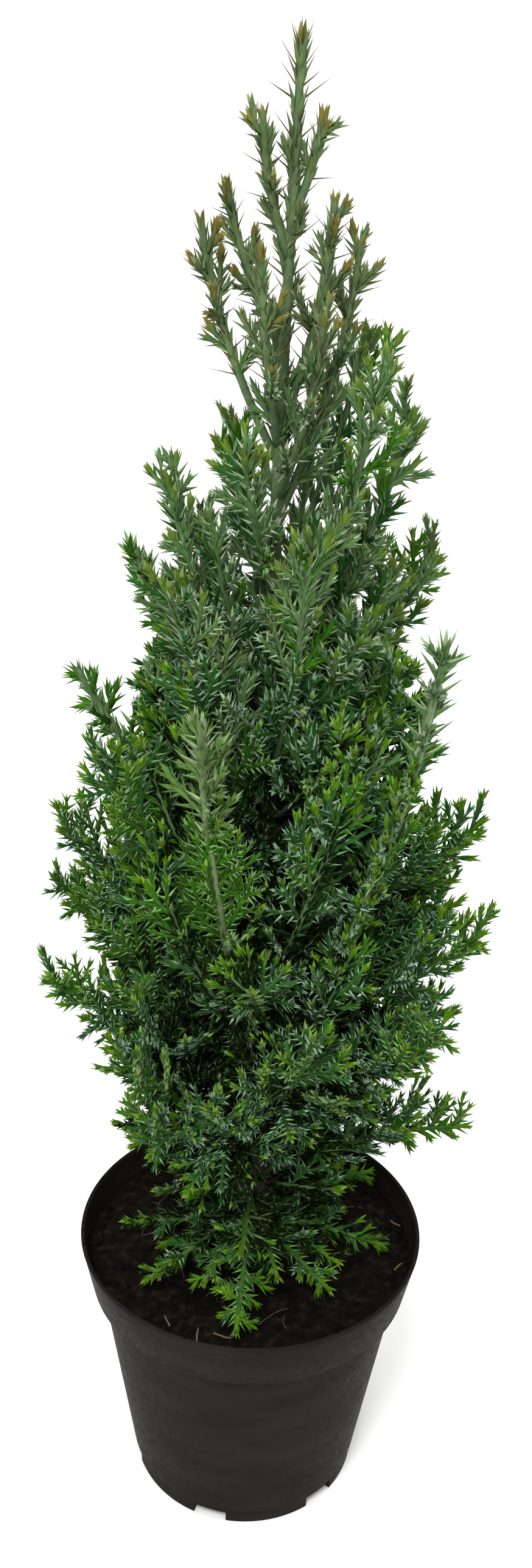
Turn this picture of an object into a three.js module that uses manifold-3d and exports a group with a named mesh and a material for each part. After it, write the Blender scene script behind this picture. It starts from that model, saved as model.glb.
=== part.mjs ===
// Potted Lawson cypress: a young upright conifer with juvenile needles, in a black nursery pot.
// Millimetres, +Z up. The origin is the centre of the pot's flat underside and the front faces -Y.
// Bearings are degrees round the trunk: 0 to the right (+X), 90 to the back, 180 left and 270 to the front.

import * as THREE from "three";
import { mergeVertices } from "three/addons/utils/BufferGeometryUtils.js";
import Module from "manifold-3d";

const wasm = await Module();
wasm.setup();

// Driving dimensions

const CLEARANCE = 0.3;
const ROUND_SEGMENTS = 48;

const POT = {
  height: 110,
  rimRadius: 65,
  collarDepth: 20.6,
  collarFootRadius: 61,
  shoulderRadius: 57.6,
  wallFootRadius: 45,
  footHeight: 7,
  footRadius: 44,
  wall: 1.5,
  floor: 2,
  edge: 0.6,
};
const DRAIN_NOTCH = { count: 6, bearing: 254, width: 13, height: 5, depth: 9 };
const SOIL = { surface: 101.5, flatRadius: 12, rings: 5, ripple: 1.1, edgeDip: 1.5 };
const TRUNK = {
  tip: 488,
  lean: 2,
  sway: 1.2,
  footRadius: 4.6,
  tipRadius: 1.1,
  taper: 0.8,
  flare: 2.6,
  flareHeight: 9,
  sides: 9,
  steps: 22,
  lowStepCrowding: 1.3,
};
const LEADER_TIP = 526;

const LIMB = { sides: 6, steps: 5, radiusPerLength: 0.012, thinnest: 0.9, tipShare: 0.5, bow: 0.1 };
const STEM = { sides: 3, steps: 3, thickest: 1.5, tipRadius: 0.55 };
const SPRAY = {
  spacing: 8.6,
  angle: 44,
  angleJitter: 9,
  shortest: 10,
  growth: 0.4,
  longest: 38,
  boughShare: 0.3,
  widthShare: 0.38,
  thicknessShare: 0.07,
  spinJitter: 55,
  rollJitter: 40,
  tipLength: 8,
  rootSink: 0.4,
};
const SHRINK_STEPS = [1, 0.8, 0.62];
const TURN_STEPS = [0, 90, 180, 270];
const CROWN = { radius: 95, widest: 180, top: 532, taper: 1.7 };
const SPACE_MARGIN = 0.5;
const SAMPLE_STEP = 6;
const GOLDEN_ANGLE = 137.508;

// The boughs that show from the front, from the spire down: the height where each leaves the trunk,
// its bearing, how far out and how high its tip is, and the share of its length that is a bare limb.
const FRONT_BOUGHS = [
  { name: "crown_left", foot: 463, bearing: 200, reach: 8, tip: 506, bare: 0 },
  { name: "crown_right", foot: 474, bearing: 350, reach: 10, tip: 506, bare: 0 },
  { name: "spire_left_back", foot: 436, bearing: 148, reach: 22, tip: 486, bare: 0 },
  { name: "spire_right", foot: 415, bearing: 348, reach: 14, tip: 484, bare: 0 },
  { name: "spire_left", foot: 404, bearing: 188, reach: 25, tip: 478, bare: 0.4 },
  { name: "spire_front", foot: 408, bearing: 258, reach: 19, tip: 464, bare: 0 },
  { name: "spire_right_outer", foot: 386, bearing: 14, reach: 23, tip: 472, bare: 0 },
  { name: "shoulder_right_back", foot: 362, bearing: 48, reach: 42, tip: 444, bare: 0 },
  { name: "shoulder_right", foot: 336, bearing: 328, reach: 36, tip: 445, bare: 0.3 },
  { name: "shoulder_front", foot: 368, bearing: 243, reach: 28, tip: 424, bare: 0 },
  { name: "shoulder_right_outer", foot: 322, bearing: 16, reach: 47, tip: 422, bare: 0 },
  { name: "shoulder_left", foot: 318, bearing: 196, reach: 38, tip: 410, bare: 0.3 },
  { name: "front_high", foot: 296, bearing: 290, reach: 30, tip: 387, bare: 0 },
  { name: "shoulder_left_front", foot: 302, bearing: 224, reach: 46, tip: 378, bare: 0 },
  { name: "shoulder_left_back", foot: 286, bearing: 157, reach: 51, tip: 375, bare: 0 },
  { name: "right_high", foot: 284, bearing: 33, reach: 67, tip: 368, bare: 0 },
  { name: "right_front", foot: 172, bearing: 318, reach: 60, tip: 364, bare: 0.45 },
  { name: "right_high_front", foot: 268, bearing: 356, reach: 50, tip: 352, bare: 0 },
  { name: "left_high", foot: 250, bearing: 170, reach: 69, tip: 334, bare: 0.25 },
  { name: "left_front", foot: 186, bearing: 236, reach: 37, tip: 332, bare: 0.4 },
  { name: "left_high_front", foot: 232, bearing: 205, reach: 60, tip: 312, bare: 0 },
  { name: "right_middle", foot: 222, bearing: 14, reach: 83, tip: 279, bare: 0.2 },
  { name: "left_middle_back", foot: 212, bearing: 157, reach: 82, tip: 267, bare: 0 },
  { name: "left_middle", foot: 196, bearing: 178, reach: 74, tip: 259, bare: 0 },
  { name: "right_low", foot: 188, bearing: 356, reach: 81, tip: 244, bare: 0.2 },
  { name: "front_middle", foot: 206, bearing: 266, reach: 44, tip: 244, bare: 0 },
  { name: "left_low", foot: 176, bearing: 193, reach: 78, tip: 235, bare: 0 },
  { name: "right_low_front", foot: 164, bearing: 333, reach: 71, tip: 232, bare: 0 },
  { name: "front_middle_right", foot: 160, bearing: 292, reach: 50, tip: 226, bare: 0 },
  { name: "front_low", foot: 146, bearing: 250, reach: 48, tip: 200, bare: 0 },
  { name: "left_low_front", foot: 152, bearing: 217, reach: 67, tip: 215, bare: 0 },
  { name: "right_skirt", foot: 148, bearing: 12, reach: 88, tip: 142, bare: 0 },
  { name: "left_skirt", foot: 140, bearing: 172, reach: 62, tip: 152, bare: 0 },
];

// The back is filled evenly: each bough there stands a step further round and lower than the last.
const BACK_BOUGHS = {
  count: 6,
  firstBearing: 64,
  sweep: 112,
  offset: 54,
  turn: 69.2,
  foot: 350,
  footFall: 37,
  reach: 32,
  reachGain: 9,
  rise: 84,
  riseFall: 9,
};
// A ring of short sprays lies low over the soil.
const SOIL_RING = {
  count: 8,
  bearing: 182,
  turn: 42,
  foot: 115,
  footStep: 3,
  reach: 52,
  reachStep: 4,
  tip: 109,
  tipStep: 4,
};

// Seeded numbers from 0 to 1

function seeded(seed) {
  let state = seed >>> 0;
  return () => {
    state = (state + 0x6d2b79f5) >>> 0;
    let t = state;
    t = Math.imul(t ^ (t >>> 15), t | 1);
    t ^= t + Math.imul(t ^ (t >>> 7), t | 61);
    return ((t ^ (t >>> 14)) >>> 0) / 4294967296;
  };
}

const radians = (degrees) => (degrees * Math.PI) / 180;
const outward = (bearing) => new THREE.Vector3(Math.cos(radians(bearing)), Math.sin(radians(bearing)), 0);

// Solids

function solidOf(geometry) {
  geometry.deleteAttribute("normal");
  geometry.deleteAttribute("uv");
  const merged = mergeVertices(geometry);
  const triangles = [];
  for (let i = 0; i < merged.index.count; i += 3) {
    const corners = [0, 1, 2].map((k) => merged.index.getX(i + k));
    if (new Set(corners).size === 3) triangles.push(...corners);
  }
  return new wasm.Manifold(
    new wasm.Mesh({
      numProp: 3,
      vertProperties: Float32Array.from(merged.attributes.position.array),
      triVerts: Uint32Array.from(triangles),
    }),
  );
}

function largestBody(solid) {
  return solid.decompose().reduce((best, body) => (body.volume() > best.volume() ? body : best));
}

function geometryOf(solid) {
  const { numVert, numProp, vertProperties, triVerts } = solid.getMesh();
  const positions = new Float32Array(numVert * 3);
  for (let i = 0; i < numVert; i++) {
    positions.set(vertProperties.subarray(i * numProp, i * numProp + 3), i * 3);
  }
  const geometry = new THREE.BufferGeometry();
  geometry.setAttribute("position", new THREE.BufferAttribute(positions, 3));
  geometry.setIndex(new THREE.BufferAttribute(Uint32Array.from(triVerts), 1));
  geometry.computeVertexNormals();
  return geometry;
}

function moveVertices(geometry, place) {
  const position = geometry.attributes.position;
  for (let i = 0; i < position.count; i++) {
    const moved = place(new THREE.Vector3().fromBufferAttribute(position, i), i);
    position.setXYZ(i, moved.x, moved.y, moved.z);
  }
  return geometry;
}

function lathe(profile) {
  const points = profile.map(([radius, height]) => new THREE.Vector2(radius, height));
  return new THREE.LatheGeometry(points, ROUND_SEGMENTS).rotateX(Math.PI / 2);
}

// Pot and soil

const collarFoot = POT.height - POT.collarDepth;

function innerRadius(height) {
  const [lowRadius, lowHeight, highRadius, highHeight] =
    height < collarFoot
      ? [POT.footRadius, 0, POT.shoulderRadius, collarFoot]
      : [POT.collarFootRadius, collarFoot, POT.rimRadius, POT.height];
  const share = (height - lowHeight) / (highHeight - lowHeight);
  return lowRadius + (highRadius - lowRadius) * share - POT.wall;
}

function pot() {
  const { height, rimRadius, wall, edge, floor } = POT;
  const shell = solidOf(
    lathe([
      [0, 0],
      [POT.footRadius - edge, 0],
      [POT.footRadius, edge],
      [POT.footRadius + edge / 2, POT.footHeight - edge],
      [POT.wallFootRadius, POT.footHeight],
      [POT.shoulderRadius, collarFoot - edge],
      [POT.collarFootRadius, collarFoot],
      [rimRadius, height - edge],
      [rimRadius - edge / 2, height],
      [rimRadius - wall, height],
      [innerRadius(collarFoot), collarFoot],
      [innerRadius(collarFoot - wall), collarFoot - wall],
      [innerRadius(floor), floor],
      [0, floor],
    ]),
  );
  const notches = Array.from({ length: DRAIN_NOTCH.count }, (_, k) => {
    const bearing = DRAIN_NOTCH.bearing + (k * 360) / DRAIN_NOTCH.count;
    const block = new THREE.BoxGeometry(DRAIN_NOTCH.depth * 2, DRAIN_NOTCH.width, DRAIN_NOTCH.height * 2);
    block.translate(POT.footRadius, 0, 0).rotateZ(radians(bearing));
    return solidOf(block);
  });
  return shell.subtract(wasm.Manifold.union(notches));
}

function soilHeight(radius, bearing) {
  const share = THREE.MathUtils.smoothstep(radius, SOIL.flatRadius, innerRadius(SOIL.surface));
  const waves = Math.sin(3 * bearing + radius / 9) + Math.cos(5 * bearing - radius / 6);
  return SOIL.surface + share * (SOIL.ripple * waves * (1 - share) - SOIL.edgeDip * share);
}

function soil() {
  const gap = CLEARANCE;
  const rim = innerRadius(SOIL.surface - SOIL.edgeDip) - gap;
  const ringStep = (rim - SOIL.flatRadius) / SOIL.rings;
  const rings = Array.from({ length: SOIL.rings + 1 }, (_, k) => rim - ringStep * k);
  const profile = [
    [0, POT.floor + gap],
    [innerRadius(POT.floor) - gap, POT.floor + gap],
    [innerRadius(collarFoot - POT.wall) - gap, collarFoot - POT.wall],
    [innerRadius(collarFoot) - gap, collarFoot + gap],
    ...rings.map((radius) => [radius, SOIL.surface]),
    [0, SOIL.surface],
  ];
  const geometry = moveVertices(lathe(profile), (p) => {
    const radius = Math.hypot(p.x, p.y);
    return p.z < SOIL.surface ? p : p.setZ(soilHeight(radius, Math.atan2(p.y, p.x)));
  });
  return solidOf(geometry);
}

// Trunk

function trunkPoint(height) {
  const share = (height - SOIL.surface) / (TRUNK.tip - SOIL.surface);
  const sway = TRUNK.sway * Math.sin(share * Math.PI * 2);
  return new THREE.Vector3(TRUNK.lean * share + sway, -sway / 2, height);
}

function trunkRadius(height) {
  const rise = height - SOIL.surface;
  const share = Math.min(1, rise / (TRUNK.tip - SOIL.surface));
  const flare = TRUNK.flare * Math.exp(-rise / TRUNK.flareHeight);
  return TRUNK.footRadius + (TRUNK.tipRadius - TRUNK.footRadius) * share ** TRUNK.taper + flare;
}

function trunk(extra = 0) {
  const foot = SOIL.surface + CLEARANCE - extra;
  const rise = TRUNK.tip + extra - foot;
  const geometry = new THREE.CylinderGeometry(1, 1, 1, TRUNK.sides, TRUNK.steps).rotateX(Math.PI / 2);
  return solidOf(
    moveVertices(geometry, (p) => {
      const share = (p.z + 0.5) ** TRUNK.lowStepCrowding;
      const height = foot + rise * share;
      const radius = trunkRadius(height) + extra;
      const centre = trunkPoint(height);
      return p.set(centre.x + p.x * radius, centre.y + p.y * radius, height);
    }),
  );
}

// Boughs: each is a curve in the upright plane of its bearing, from the trunk's middle to its tip

function boughPath(bough) {
  const start = trunkPoint(bough.foot);
  const end = outward(bough.bearing).multiplyScalar(bough.reach).setZ(bough.tip);
  const span = end.clone().sub(start);
  const middle = start.clone().addScaledVector(span, 0.5);
  middle.addScaledVector(outward(bough.bearing), LIMB.bow * span.length());
  return framed(new THREE.QuadraticBezierCurve3(start, middle, end), bough.bearing);
}

function framed(curve, bearing) {
  const side = outward(bearing + 90);
  return {
    length: curve.getLength(),
    frame(t) {
      const tangent = curve.getTangent(t);
      const normal = side.clone().cross(tangent).normalize();
      return { point: curve.getPoint(t), tangent, side, normal };
    },
  };
}

function limbRadius(path, t) {
  const foot = Math.max(LIMB.thinnest, LIMB.radiusPerLength * path.length);
  return foot * (1 - (1 - LIMB.tipShare) * t);
}

function stemRadius(path, t) {
  const foot = Math.min(STEM.thickest, limbRadius(path, t));
  return foot + (STEM.tipRadius - foot) * t;
}

function taperedRod(path, from, to, radiusAt, { sides, steps }) {
  const geometry = new THREE.CylinderGeometry(1, 1, 1, sides, steps);
  return solidOf(
    moveVertices(geometry, (p) => {
      const t = from + (to - from) * (p.y + 0.5);
      const { point, side, normal } = path.frame(t);
      const radius = radiusAt(path, t);
      return point.addScaledVector(side, p.x * radius).addScaledVector(normal, p.z * radius);
    }),
  );
}

// A spray of needles: a ribbed blade whose rim is drawn out into teeth, as shares of its length and width

const LONG_BLADE_SIDE = [
  [0.7, 0.3],
  [0.8, 0.7],
  [0.52, 0.48],
  [0.46, 1],
];
const SHORT_BLADE_SIDE = [
  [0.6, 0.35],
  [0.62, 1],
];
const LONG_BLADE = 24;
const BLADE_HEART = 0.4;

function bladeOutline(length) {
  const width = length * SPRAY.widthShare;
  const teeth = length > LONG_BLADE ? LONG_BLADE_SIDE : SHORT_BLADE_SIDE;
  const right = teeth.map(([along, across]) => [along * length, across * width]);
  const left = right.map(([along, across]) => [along, -across]).reverse();
  return [[length, 0], ...right, [-SPRAY.rootSink, 0], ...left];
}

function blade(root, direction, across, length) {
  const rim = bladeOutline(length);
  const thick = new THREE.Vector3().crossVectors(direction, across);
  const place = ([x, y], z = 0) =>
    root.clone().addScaledVector(direction, x).addScaledVector(across, y).addScaledVector(thick, z);
  const heart = [BLADE_HEART * length, 0];
  const half = (SPRAY.thicknessShare * length) / 2;
  const geometry = new THREE.SphereGeometry(1, rim.length, 2);
  const corners = rim.map((corner) => place(corner));
  const rowLength = rim.length + 1;
  moveVertices(geometry, (p, i) => {
    const row = Math.floor(i / rowLength);
    return row === 1 ? corners[i % rowLength % rim.length] : place(heart, row === 0 ? half : -half);
  });
  return { geometry, corners };
}

// Each mass keeps to its own space: nearer to its own stem than to any other, and clear of wood, soil and pot

function samples(path, from, to) {
  const count = Math.max(3, Math.ceil(((to - from) * path.length) / SAMPLE_STEP));
  return Array.from({ length: count + 1 }, (_, k) => path.frame(from + ((to - from) * k) / count).point);
}

function distanceTo(points, p) {
  const segment = new THREE.Line3();
  const nearest = new THREE.Vector3();
  let best = Infinity;
  for (let k = 1; k < points.length; k++) {
    segment.set(points[k - 1], points[k]).closestPointToPoint(p, true, nearest);
    best = Math.min(best, nearest.distanceTo(p));
  }
  return best;
}

function clearOfPot(p) {
  const radius = Math.hypot(p.x, p.y);
  if (radius > POT.rimRadius + 2) return p.z > POT.height;
  if (radius > innerRadius(POT.height) - 2) return p.z > POT.height + 2;
  return p.z > SOIL.surface + 2 * SOIL.ripple + CLEARANCE;
}

function insideCrown(p) {
  const rise = Math.max(0, p.z - CROWN.widest) / (CROWN.top - CROWN.widest);
  return Math.hypot(p.x, p.y) < CROWN.radius * (1 - rise ** CROWN.taper);
}

function keepsToSpace(mass, corners, masses, limbs) {
  return corners.every((p) => {
    if (!clearOfPot(p) || !insideCrown(p)) return false;
    if (limbs.some((limb) => distanceTo(limb.points, p) < limb.radiusAt(p.z) + SPACE_MARGIN)) return false;
    const own = distanceTo(mass.points, p);
    return masses.every((other) => other === mass || distanceTo(other.points, p) > own + 2 * SPACE_MARGIN);
  });
}

// Grows a mass: one stem with sprays set round it by the golden angle, longer to its foot, and one at its tip

function growMass(mass, masses, limbs) {
  const { path, from, seed } = mass;
  const random = seeded(seed);
  const stemEnd = 1 - SPRAY.tipLength / path.length;
  const pieces = [taperedRod(path, from, stemEnd, stemRadius, STEM)];
  const stemLength = (stemEnd - from) * path.length;
  const count = Math.floor(stemLength / SPRAY.spacing);
  const last = path.frame(stemEnd);
  const tipBlade = blade(last.point, last.tangent, last.side, path.frame(1).point.distanceTo(last.point));
  pieces.push(solidOf(tipBlade.geometry));
  for (let k = 0; k < count; k++) {
    const share = (k + 0.5) / count;
    const t = from + (stemEnd - from) * share;
    const { point, tangent, side, normal } = path.frame(t);
    const roll = k * GOLDEN_ANGLE + random() * SPRAY.rollJitter;
    const lean = radians(SPRAY.angle + (random() - 0.5) * 2 * SPRAY.angleJitter);
    const spin = radians((random() - 0.5) * 2 * SPRAY.spinJitter);
    const toTip = (1 - t) * path.length;
    const most = Math.min(SPRAY.longest, SPRAY.boughShare * path.length);
    const full = Math.min(most, SPRAY.shortest + SPRAY.growth * toTip);
    const tries = SHRINK_STEPS.flatMap((shrink) => TURN_STEPS.map((turn) => ({ shrink, turn })));
    for (const { shrink, turn } of tries) {
      const bearing = radians(roll + turn);
      const away = side.clone().multiplyScalar(Math.cos(bearing)).addScaledVector(normal, Math.sin(bearing));
      const direction = tangent.clone().multiplyScalar(Math.cos(lean)).addScaledVector(away, Math.sin(lean));
      const across = new THREE.Vector3().crossVectors(tangent, away).applyAxisAngle(direction, spin);
      const spray = blade(point, direction, across, full * shrink);
      if (keepsToSpace(mass, spray.corners, masses, limbs)) {
        pieces.push(solidOf(spray.geometry));
        break;
      }
    }
  }
  const joined = wasm.Manifold.union(pieces);
  return largestBody(mass.onTrunk ? joined.subtract(grownTrunk) : joined);
}

// The whole plant

const BARK = { color: 0x6b5a41, roughness: 0.85, metalness: 0 };
const LEAF = { color: 0x3f6f3d, roughness: 0.6, metalness: 0 };
const PLASTIC = { color: 0x2d2c2a, roughness: 0.55, metalness: 0 };
const PEAT = { color: 0x17110d, roughness: 0.95, metalness: 0 };

function backBoughs() {
  const back = BACK_BOUGHS;
  return Array.from({ length: back.count }, (_, k) => {
    const foot = back.foot - back.footFall * k;
    return {
      name: `back_${k + 1}`,
      foot,
      bearing: back.firstBearing + ((back.offset + k * back.turn) % back.sweep),
      reach: back.reach + back.reachGain * k,
      tip: foot + back.rise - back.riseFall * k,
      bare: 0,
    };
  });
}

function soilRing() {
  const ring = SOIL_RING;
  return Array.from({ length: ring.count }, (_, k) => ({
    name: `soil_spray_${k + 1}`,
    foot: ring.foot + ring.footStep * (k % 3),
    bearing: ring.bearing + k * ring.turn,
    reach: ring.reach + ring.reachStep * ((k % 3) - 1),
    tip: ring.tip + ring.tipStep * (k % 2),
    bare: 0,
  }));
}

const grownTrunk = trunk(CLEARANCE);
const boughs = [...FRONT_BOUGHS, ...backBoughs(), ...soilRing()];
const trunkRise = TRUNK.tip - SOIL.surface;
const trunkLine = Array.from({ length: TRUNK.steps + 1 }, (_, k) =>
  trunkPoint(SOIL.surface + (trunkRise * k) / TRUNK.steps),
);
const limbs = [{ points: trunkLine, radiusAt: trunkRadius }];
const masses = [];
boughs.forEach((bough, index) => {
  const path = boughPath(bough);
  const gap = CLEARANCE / path.length;
  if (bough.bare) {
    const points = samples(path, 0, bough.bare);
    limbs.push({ name: bough.name, path, to: bough.bare, points, radiusAt: () => limbRadius(path, 0) });
  }
  const from = bough.bare ? bough.bare + gap : 0;
  const points = samples(path, from, 1);
  masses.push({ name: bough.name, path, from, onTrunk: !bough.bare, seed: index + 1, points });
});

const leaderStart = trunkPoint(TRUNK.tip).setZ(TRUNK.tip + CLEARANCE);
const leaderEnd = trunkPoint(LEADER_TIP);
const leaderPath = framed(new THREE.LineCurve3(leaderStart, leaderEnd), 0);
masses.push({
  name: "leader",
  path: leaderPath,
  from: 0,
  onTrunk: false,
  seed: boughs.length + 1,
  points: samples(leaderPath, 0, 1),
});

const plant = new THREE.Group();
function addPart(name, solid, finish) {
  const mesh = new THREE.Mesh(geometryOf(solid), new THREE.MeshStandardMaterial(finish));
  mesh.name = name;
  plant.add(mesh);
}

addPart("pot", pot(), PLASTIC);
addPart("soil", soil(), PEAT);
addPart("trunk", trunk(), BARK);
for (const limb of limbs.slice(1)) {
  const rod = taperedRod(limb.path, 0, limb.to, limbRadius, LIMB);
  addPart(`bough_${limb.name}`, largestBody(rod.subtract(grownTrunk)), BARK);
}
for (const mass of masses) addPart(`foliage_${mass.name}`, growMass(mass, masses, limbs), LEAF);

export default plant;
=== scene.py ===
"""A young lawson cypress in a black nursery pot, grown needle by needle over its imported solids.

Growth is worked out in millimetres in the solids' frame and turned into metres where a mesh is made.
"""

import math
from dataclasses import dataclass, fields, replace
from itertools import combinations

import bpy
import numpy as np
from mathutils import Matrix, Quaternion, Vector, noise


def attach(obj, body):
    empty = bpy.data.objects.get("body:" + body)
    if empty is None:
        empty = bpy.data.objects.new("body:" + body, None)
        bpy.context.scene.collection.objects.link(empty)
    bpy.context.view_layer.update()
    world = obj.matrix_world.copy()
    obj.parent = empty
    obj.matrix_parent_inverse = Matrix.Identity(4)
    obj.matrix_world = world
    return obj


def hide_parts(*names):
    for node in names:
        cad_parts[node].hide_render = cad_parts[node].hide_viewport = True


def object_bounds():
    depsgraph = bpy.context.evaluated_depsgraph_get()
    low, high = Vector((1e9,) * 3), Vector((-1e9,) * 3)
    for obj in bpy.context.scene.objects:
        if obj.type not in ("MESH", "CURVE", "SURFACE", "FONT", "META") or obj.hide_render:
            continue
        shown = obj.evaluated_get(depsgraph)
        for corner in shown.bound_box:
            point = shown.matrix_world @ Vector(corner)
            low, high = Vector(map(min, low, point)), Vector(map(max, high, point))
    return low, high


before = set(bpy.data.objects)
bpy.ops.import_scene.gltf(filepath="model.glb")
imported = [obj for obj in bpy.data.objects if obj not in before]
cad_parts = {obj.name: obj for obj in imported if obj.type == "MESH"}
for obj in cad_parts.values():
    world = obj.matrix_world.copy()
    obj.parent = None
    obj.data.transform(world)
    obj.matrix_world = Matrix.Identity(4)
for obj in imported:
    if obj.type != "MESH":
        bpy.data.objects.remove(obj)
cad_low, cad_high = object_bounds()

MM = 0.001
UP = np.array([0.0, 0.0, 1.0])
NEARLY_UPRIGHT = 0.9
NOTHING = np.empty((0, 3))
GOLDEN_ANGLE = 137.508
GOLDEN_SHARE = 0.618
NOISE_SHIFT = np.array([17.3, 5.7, 11.9])
MAX_TRIANGLES = 190_000

# Camera of the photograph: a 35 mm lens on an 874 x 2576 frame, looking down, with a slight roll

CAMERA_PLACE = (0.0, -0.4626, 0.5099)
CAMERA_PITCH = 24.77
CAMERA_ROLL = 2.0
CAMERA_LENS = 35.0
CAMERA_SENSOR = 36.0
CAMERA_NEAR = 0.01

# Stage and light, in metres and watts

FLOOR_MIDDLE = 0.4
FLOOR_RADIUS = 2.4
FLOOR_RISE = 1.6
FLOOR_SEGMENTS = 96
FLOOR_STEPS = 12
WALL_TOP = 3.0
WORLD_STRENGTH = 0.2
OVERHEAD_LIGHT = {"place": (0.0, 0.0, 3.2), "target": (0.0, 0.0, 0.0), "size": 7.0, "power": 200.0}
KEY_LIGHT = {"place": (-0.2, -0.85, 1.35), "target": (0.0, 0.0, 0.28), "size": 0.35, "power": 14.0}

# Sizes of the pot, soil, trunk and crown, as in the solids

POT_HEIGHT = 110.0
RIM_RADIUS = 65.0
COLLAR_FOOT = 89.4
COLLAR_FOOT_RADIUS = 61.0
SHOULDER_RADIUS = 57.6
WALL_FOOT_RADIUS = 45.0
FOOT_HEIGHT = 7.0
FOOT_RADIUS = 44.0
POT_WALL = 1.5
POT_FLOOR = 2.0
POT_EDGE = 0.6
POT_SEGMENTS = 192
POT_SHARP_ANGLE = 32.0
NOTCH_COUNT = 6
NOTCH_BEARING = 254.0
NOTCH_WIDTH = 13.0
NOTCH_HEIGHT = 5.0
NOTCH_DEPTH = 9.0

SOIL_SURFACE = 101.5
TRUNK_TIP = 488.0
TRUNK_LEAN = 2.0
TRUNK_SWAY = 1.2
TRUNK_FOOT_RADIUS = 4.6
TRUNK_TIP_RADIUS = 1.3
TRUNK_TAPER = 0.8
TRUNK_FLARE = 2.6
TRUNK_FLARE_HEIGHT = 9.0
LEADER_FOOT = 400.0
LEADER_TIP = 525.0
LEADER_BUD = 4.5
BOUGH_BOW = 0.1
CURVE_STEP, CURVE_SAMPLES, LEAST_POINTS = 2.0, 33, 4
CROWN_RADIUS = 95.0
CROWN_WIDEST = 180.0
CROWN_TOP = 532.0
CROWN_TAPER = 1.7
CROWN_FLATNESS = 0.72


# Vectors, blends and noise


def unit(v):
    return v / np.linalg.norm(v, axis=-1, keepdims=True)


def outward(bearing):
    angle = math.radians(bearing)
    return np.array([math.cos(angle), math.sin(angle), 0.0])


def radial(place, core):
    """The level way out from the upright axis at a place, shorter than a unit inside the core."""
    return np.array([place[0], place[1], 0.0]) / max(core, math.hypot(place[0], place[1]))


def smooth_step(value, low, high):
    t = np.clip((value - low) / (high - low), 0.0, 1.0)
    return t * t * (3 - 2 * t)


def ease(value, band):
    """The smooth step of one number over a band of values."""
    return float(smooth_step(value, *band))


def stagger(k):
    """A share from 0 to 1 that scatters evenly as k counts up."""
    return (k * GOLDEN_SHARE) % 1


def swing(a, b, angle):
    """A direction turned towards another, square to it, by an angle in radians."""
    return a * math.cos(angle) + b * math.sin(angle)


def distances(points):
    """How far along a line each of its points lies."""
    return np.concatenate([[0], np.cumsum(np.linalg.norm(np.diff(points, axis=0), axis=1))])


def read_along(places, reached, rows):
    """Rows of three values at places along a line, read off between its points."""
    return np.stack([np.interp(places, reached, rows[:, k]) for k in range(3)], -1)


def noise_at(points, size, seed):
    """Smooth noise from about -1 to 1 at points in millimetres, with lumps of about that size."""
    shift = Vector(seed * NOISE_SHIFT)
    return np.array([noise.noise(Vector(p) / size + shift) for p in points])


# Boughs: the ones that the photograph shows, and the ones that fill the crown by a rule


@dataclass
class Bough:
    """A limb: its foot on the trunk, its bearing, and how far out and how high its tip is."""

    name: str
    foot: float
    bearing: float
    reach: float
    tip: float
    bare: float = 0.0  # share of it that bears no needles
    sweep: float = 0.0  # degrees that its tip swings round from the bearing
    bow: float = BOUGH_BOW  # share of its span that it bows outwards


FRONT_BOUGHS = [
    Bough("crown_left", 463, 200, 8, 506),
    Bough("crown_right", 474, 350, 10, 506, 0.45),
    Bough("spire_left_back", 436, 148, 22, 486),
    Bough("spire_right", 415, 348, 14, 484),
    Bough("spire_left", 404, 188, 25, 478, 0.4),
    Bough("spire_front", 408, 250, 19, 470),
    Bough("spire_right_outer", 386, 14, 23, 472),
    Bough("spire_right_front", 392, 316, 17, 452),
    Bough("shoulder_right_back", 362, 48, 42, 444),
    Bough("shoulder_right", 336, 328, 36, 445, 0.3),
    Bough("shoulder_front", 362, 248, 26, 415),
    Bough("shoulder_right_outer", 322, 16, 44, 422),
    Bough("shoulder_left", 318, 196, 35, 405, 0.3),
    Bough("shoulder_left_inner", 322, 210, 23, 394),
    Bough("front_high", 296, 290, 30, 387),
    Bough("shoulder_left_front", 302, 224, 46, 378),
    Bough("shoulder_left_back", 286, 157, 51, 375),
    Bough("right_high", 292, 33, 66, 374),
    Bough("right_high_inner", 292, 12, 40, 374),
    Bough("right_front", 172, 320, 67, 366, 0.45),
    Bough("right_high_front", 268, 354, 45, 347),
    Bough("left_high", 250, 170, 67, 335, 0.25),
    Bough("left_front", 186, 236, 37, 332, 0.4),
    Bough("left_high_front", 232, 205, 60, 318),
    Bough("right_middle", 225, 14, 82, 279, 0.2),
    Bough("left_middle_back", 212, 157, 82, 267),
    Bough("left_middle", 196, 178, 72, 257),
    Bough("right_low", 190, 356, 80, 248, 0.2),
    Bough("right_low_back", 198, 22, 66, 249),
    Bough("right_low_upper", 194, 8, 70, 252),
    Bough("front_middle", 206, 266, 44, 244),
    Bough("left_low", 176, 193, 77, 231),
    Bough("right_low_front", 160, 335, 71, 220),
    Bough("front_middle_right", 160, 292, 50, 226),
    Bough("front_low_middle", 176, 274, 42, 212),
    Bough("front_low", 146, 250, 48, 200),
    Bough("left_low_front", 152, 217, 62, 215),
    Bough("front_skirt", 130, 264, 38, 124),
    Bough("right_skirt", 150, 12, 88, 146),
    Bough("left_skirt", 140, 172, 56, 150),
]


@dataclass
class Rule:
    """A set of boughs: their count, the first one's foot and bearing, the steps, reach and rise."""

    name: str
    count: int
    foot: float
    step: float
    bearing: float
    reach: float
    more: float = 0.0
    rise: float = 0.0
    turn: float = GOLDEN_ANGLE

    def places(self):
        for k in range(self.count):
            yield k, f"{self.name}_{k + 1}", self.foot + self.step * k, self.bearing + self.turn * k


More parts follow.
